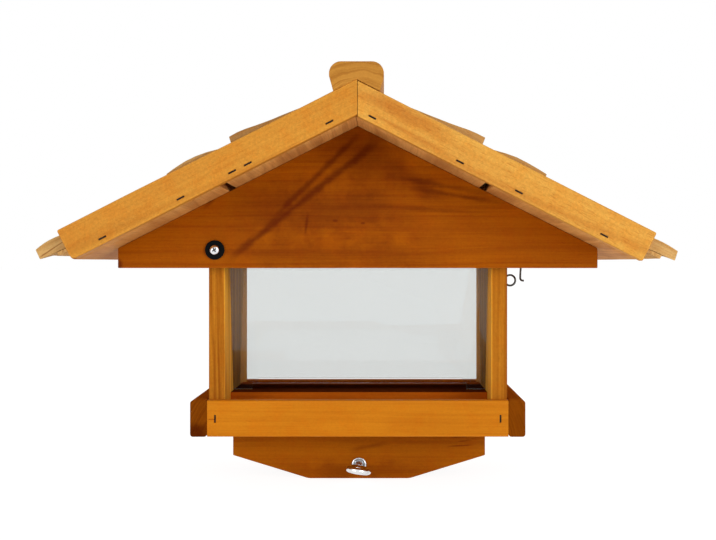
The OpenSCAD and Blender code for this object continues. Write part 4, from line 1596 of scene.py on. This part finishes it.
@dataclass
class Staples(Assembly):
    """The staples in the rails and rakes, one modelled and the rest copied."""

    width: float = 6 * MM
    leg: float = 20 * MM
    wire_w: float = 1.2 * MM
    wire_t: float = 0.7 * MM
    sink: float = 0.3 * MM
    depth: float = -4.25 * MM

    def build(self) -> None:
        """Builds and dresses all the staples."""
        finish = STAPLE.material()
        pattern = self._staple()
        rakes, rails = [], []
        for turn in (Matrix.Identity(4), Matrix.Rotation(math.pi, 4, "Z")):
            for side in Side:
                for down in RAKE_STAPLES[side]:
                    place = (down * MM, -(ROOF_OUTER - self.sink) * side.value, self.depth)
                    lie = turn @ slope(side) @ stand(place, side.value * QUARTER, "X")
                    rakes.append(copy(pattern, "staple", lie))
                place = (side.value * WALL_MID, -RAIL_FACE + self.sink, RAIL_STAPLE_Z)
                lie = turn @ (stand(place, QUARTER, "X") @ Matrix.Rotation(QUARTER, 4, "Z"))
                rails.append(copy(pattern, "staple", lie))
        bpy.data.objects.remove(pattern, do_unlink=True)
        for name, body, staples in (("rake_staple", "roof", rakes), ("rail_staple", "house", rails)):
            dress(smooth(gather(name + "_set", staples)), finish, body, "dark_wire", name + "s")

    def _staple(self) -> Piece:
        """Bends one staple, with its crown's face at z = 0 and its legs down."""
        half = self.width / 2
        corner = (-half, -self.wire_w / 2, -self.wire_t)
        piece = block("staple", corner, (half, self.wire_w / 2, 0))
        for side in (-1, 1):
            score(piece, 0, [side * (half - self.wire_t)])
        with editing(piece):
            pick(
                piece, Part.FACES,
                lambda m: abs(m.z + self.wire_t) < WELD and abs(m.x) > half - self.wire_t,
            )
            bpy.ops.mesh.extrude_region_move(
                TRANSFORM_OT_translate={"value": (0, 0, self.wire_t - self.leg)}
            )
        ease(piece, 0.25 * MM, 2, 50)
        return piece


@dataclass
class Hinge(Assembly):
    """The pivot screws and washers that the roof turns on."""

    washer_from: float = 111.6 * MM
    washer_t: float = 2 * MM
    washer_r: float = 7.8 * MM
    washer_soft: float = 0.6 * MM
    shank_r: float = 2 * MM
    shank_from: float = 72.5 * MM
    head_r: float = 4 * MM
    head_h: float = 3 * MM
    arm_half: Pair = (1.9 * MM, 0.55 * MM)
    cross_turn: float = 0.6

    def build(self) -> None:
        """Builds and dresses the hinge."""
        chrome = PIVOT.material()
        rubber = RUBBER.material()
        screw = self._screw()
        washer = self._washer()
        for name, turn in (("front", QUARTER), ("rear", -QUARTER)):
            place = stand((-WALL_MID, 0, PIVOT_Z), turn, "X")
            turned = copy(screw, f"{name}_pan_screw", place)
            dress(turned, chrome, "house", "chrome", f"{name}_pivot_screw")
            ring = copy(washer, f"{name}_rubber_washer", place)
            dress(ring, rubber, "house", "washer_rubber", f"{name}_pivot_washer")
        for pattern in (screw, washer):
            bpy.data.objects.remove(pattern, do_unlink=True)

    def _screw(self) -> Piece:
        """Turns the pan-head screw and cuts its cross recess."""
        foot = self.washer_from + self.washer_t
        shank, head, h = self.shank_r, self.head_r, self.head_h
        piece = lathe("pan_screw", [
            (0.0, self.shank_from), (shank * 0.5, self.shank_from + 0.5 * MM),
            (shank, self.shank_from + 2.5 * MM), (shank, foot),
            (head * 0.96, foot), (head, foot + 0.25 * MM),
            (head, foot + h * 0.35), (head * 0.955, foot + h * 0.55),
            (head * 0.86, foot + h * 0.75), (head * 0.7, foot + h * 0.9),
            (head * 0.45, foot + h * 0.98), (0.0, foot + h),
        ], 48)
        x, y = self.arm_half
        for turn in (self.cross_turn, self.cross_turn + QUARTER):
            arm = block("arm", (-x, -y, foot + h * 0.42), (x, y, foot + h + MM))
            move(arm, Matrix.Rotation(turn, 4, "Z"))
            hollow(piece, arm)
        smooth(piece)
        # The walls and floor of the cross recess are marked for painted shade.
        mark(
            piece, "pit",
            lambda face: face.center.z > foot + h * 0.4 and face.center.xy.length < x + 0.02 * MM
            and (abs(face.normal.z) < 0.3 or face.center.z < foot + h * 0.5),
        )
        return piece

    def _washer(self) -> Piece:
        """Turns the rubber washer, bulged a little at its rim."""
        low, high = self.washer_from, self.washer_from + self.washer_t
        r, bore_r, soft = self.washer_r, self.shank_r, self.washer_soft
        return lathe("rubber_washer", [
            (bore_r, low), (r - soft, low), (r - soft * 0.25, low + soft * 0.4),
            (r, low + self.washer_t / 2), (r - soft * 0.25, high - soft * 0.4),
            (r - soft, high), (r - soft * 2.2, high - 0.05 * MM),
            (bore_r + 2.6 * MM, high - 0.25 * MM), (bore_r, high - 0.02 * MM), (bore_r, low),
        ], 56)


@dataclass
class Latch(Assembly):
    """The screw eyes and the wire hook."""

    wire_r: float = 0.9 * MM
    eye_r: float = 4.6 * MM
    wall_face: float = 120.75 * MM
    wall_eye: Point = (131.25 * MM, 0.0, 166 * MM)
    wall_bite: float = 9 * MM
    roof_eye: Point = (141.25 * MM, 4 * MM, 209.355 * MM)
    roof_neck: float = 10.9 * MM
    hook: Point = (141.25 * MM, 4 * MM, 203.955 * MM)
    hook_r: float = 2.9 * MM
    hook_foot: float = 165.655 * MM
    hook_bend: float = 2.2 * MM
    hook_toe: float = 1 * MM
    hook_stray: float = 1 * MM

    def build(self) -> None:
        """Builds and dresses the latch."""
        finish = DARK_WIRE.material()
        dress(self._wall_eye(), finish, "house", "dark_wire", "wall_eye")
        dress(self._roof_eye(), finish, "roof", "dark_wire", "roof_eye")
        dress(self._hook(), finish, "latch_hook", "dark_wire", "latch_hook")

    @staticmethod
    def _ring(radius: float, start: float, sweep: float, count: int = 44) -> list[Pair]:
        """Gives the points of an open ring, by its start and sweep in degrees."""
        turns = [math.radians(start + sweep * i / count) for i in range(count + 1)]
        return [(radius * math.cos(turn), radius * math.sin(turn)) for turn in turns]

    def _bend(self, name: str, ring: str, rod: str, loop: list[Point], run: list[Point]) -> Piece:
        """Bends a ring and a rod of wire and joins them, each part with its own name."""
        parts = [bend_wire(ring, loop, self.wire_r), bend_wire(rod, run, self.wire_r)]
        return gather(name, parts)

    def _wall_eye(self) -> Piece:
        """Bends the eye in the wall."""
        x, y, z = self.wall_eye
        loop = [(x + a, y, z + b) for a, b in self._ring(self.eye_r, 180, 345)]
        run = [(self.wall_face - self.wall_bite, y, z), (x - self.eye_r, y, z)]
        return self._bend("wall_screw_eye", "wall_eye_ring", "wall_eye_shank", loop, run)

    def _roof_eye(self) -> Piece:
        """Bends the eye under the roof."""
        x, y, z = self.roof_eye
        loop = [(x, y + a, z + b) for a, b in self._ring(self.eye_r, 90, 345)]
        top = z + self.eye_r
        run = [(x, y, top), (x, y, top + self.roof_neck)]
        return self._bend("roof_screw_eye", "roof_eye_ring", "roof_eye_shank", loop, run)

    def _hook(self) -> Piece:
        """Bends the hook: a ring round the roof eye, a rod and a toe."""
        x, y, z = self.hook
        bend = self.hook_foot + self.hook_bend
        loop = [(x + a, y, z + b) for a, b in self._ring(self.hook_r, 270, -350)]
        top = z - self.hook_r
        run = []
        for i in range(13):
            share = i / 12
            stray = self.hook_stray * math.sin(math.pi * 1.5 * share) * (1 if share < 0.67 else 0.7)
            run.append((x + stray, y, top + (bend - top) * share))
        foot = run[-1][0]
        for i in range(1, 9):
            turn = math.radians(90 * i / 8)
            out = foot + self.hook_bend * (1 - math.cos(turn))
            run.append((out, y, bend - self.hook_bend * math.sin(turn)))
        run.append((foot + self.hook_bend + self.hook_toe, y, self.hook_foot))
        return self._bend("wire_hook", "hook_ring", "hook_rod", loop, run)


# Studio


@dataclass
class Studio:
    """The camera, the lamps, the pale floor and the white surroundings."""

    ambient: float = 0.37
    behind: float = 1.1
    floor_shade: float = 0.2
    lit_shade: float = 0.8
    bounce: float = 0.22
    floor_w: float = 60.0
    lamp_w: float = 1.0
    eye: Point = (0.021, -1.298, 0.182)
    aim: Point = (0, 0, 0.17)
    lens: float = 74.6
    sensor: float = 36.0
    shift: Pair = (-0.0363, -0.0112)
    lamps: tuple[tuple[str, Point, float], ...] = (
        ("right_lamp", (1.2, -1.75, 0.6), 17.0), ("left_lamp", (-1.2, -1.75, 0.55), 13.0),
    )

    def build(self) -> None:
        """Sets the studio up."""
        self._camera()
        self._floor()
        self._world()
        for lamp in self.lamps:
            self._lamp(*lamp)
        bpy.context.scene.view_settings.view_transform = "Standard"
        log.info("studio is set up")

    def _camera(self) -> None:
        """Places the camera as the photograph was taken."""
        data = bpy.data.cameras.new("camera")
        data.lens = self.lens
        data.sensor_width = self.sensor
        data.shift_x, data.shift_y = self.shift
        camera = bpy.data.objects.new("camera", data)
        camera.location = self.eye
        camera.rotation_euler = (QUARTER, 0, 0)
        bpy.context.scene.collection.objects.link(camera)
        bpy.context.scene.camera = camera

    def _lamp(self, name: str, place: Point, power: float) -> None:
        """Hangs a soft lamp of a power in watts, which points at the feeder."""
        data = bpy.data.lights.new(name, "AREA")
        data.shape = "SQUARE"
        data.size = self.lamp_w
        data.energy = power
        lamp = bpy.data.objects.new(name, data)
        lamp.location = place
        lamp.rotation_euler = (Vector(self.aim) - Vector(place)).to_track_quat("-Z", "Y").to_euler()
        bpy.context.scene.collection.objects.link(lamp)

    @staticmethod
    def _matt(graph: Graph, shade: float, glow: float) -> Wire:
        """Gives a matt grey that also glows."""
        matt = graph.node("BsdfDiffuse", {"Color": (shade, shade, shade, 1.0)})
        light = graph.node("Emission", {"Color": WHITE, "Strength": glow})
        return graph.node("AddShader", {0: matt, 1: light})

    def _floor(self) -> None:
        """Lays the pale floor, which keeps the feeder's soft shadow."""
        clear()
        bpy.ops.mesh.primitive_plane_add(size=self.floor_w, location=(0, 0, 0))
        floor = bpy.context.object
        floor.name = "floor"
        made, graph = new_material("pale_floor")
        lit = self._matt(graph, self.lit_shade, self.bounce)
        shown = self._matt(graph, self.floor_shade, 1.0 - self.floor_shade * self.ambient)
        graph.surface(graph.node("MixShader", {0: self._seen(graph), 1: lit, 2: shown}))
        floor.data.materials.append(made)

    @staticmethod
    def _seen(graph: Graph) -> Wire:
        """Gives 1 for rays that show the surroundings, by sight, mirror or clear pane."""
        camera = graph.node("LightPath", out="Is Camera Ray")
        mirror = graph.output(camera, "Is Glossy Ray")
        pane = graph.output(camera, "Is Transmission Ray")
        return graph.math("MINIMUM", camera + mirror + pane, 1.0)

    def _world(self) -> None:
        """Makes the surroundings white to look at and soft to be lit by."""
        world = bpy.data.worlds.new("surroundings")
        bpy.context.scene.world = world
        world.use_nodes = True
        graph = Graph(world.node_tree)
        toward = graph.node("SeparateXYZ", {0: graph.node("TexCoord", out="Generated")}, 1)
        soft = self.ambient + graph.math("MAXIMUM", toward, 0.0) * self.behind
        seen = self._seen(graph)
        strength = soft * (1 - seen) + seen
        light = graph.node("Background", {"Color": WHITE, "Strength": strength})
        graph.add("OutputWorld", {"Surface": light})


def main() -> None:
    """Loads the frame, sets up the studio and builds every sub-assembly in order."""
    logging.basicConfig(level=logging.INFO, format="%(name)s: %(message)s")
    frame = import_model()
    clear()
    Studio().build()
    for kind in (Tray, Underside, Hopper, RoofBoards, Shingles, Staples, Hinge, Latch):
        kind(frame["nodes"]).build()


if __name__ == "__main__":
    main()
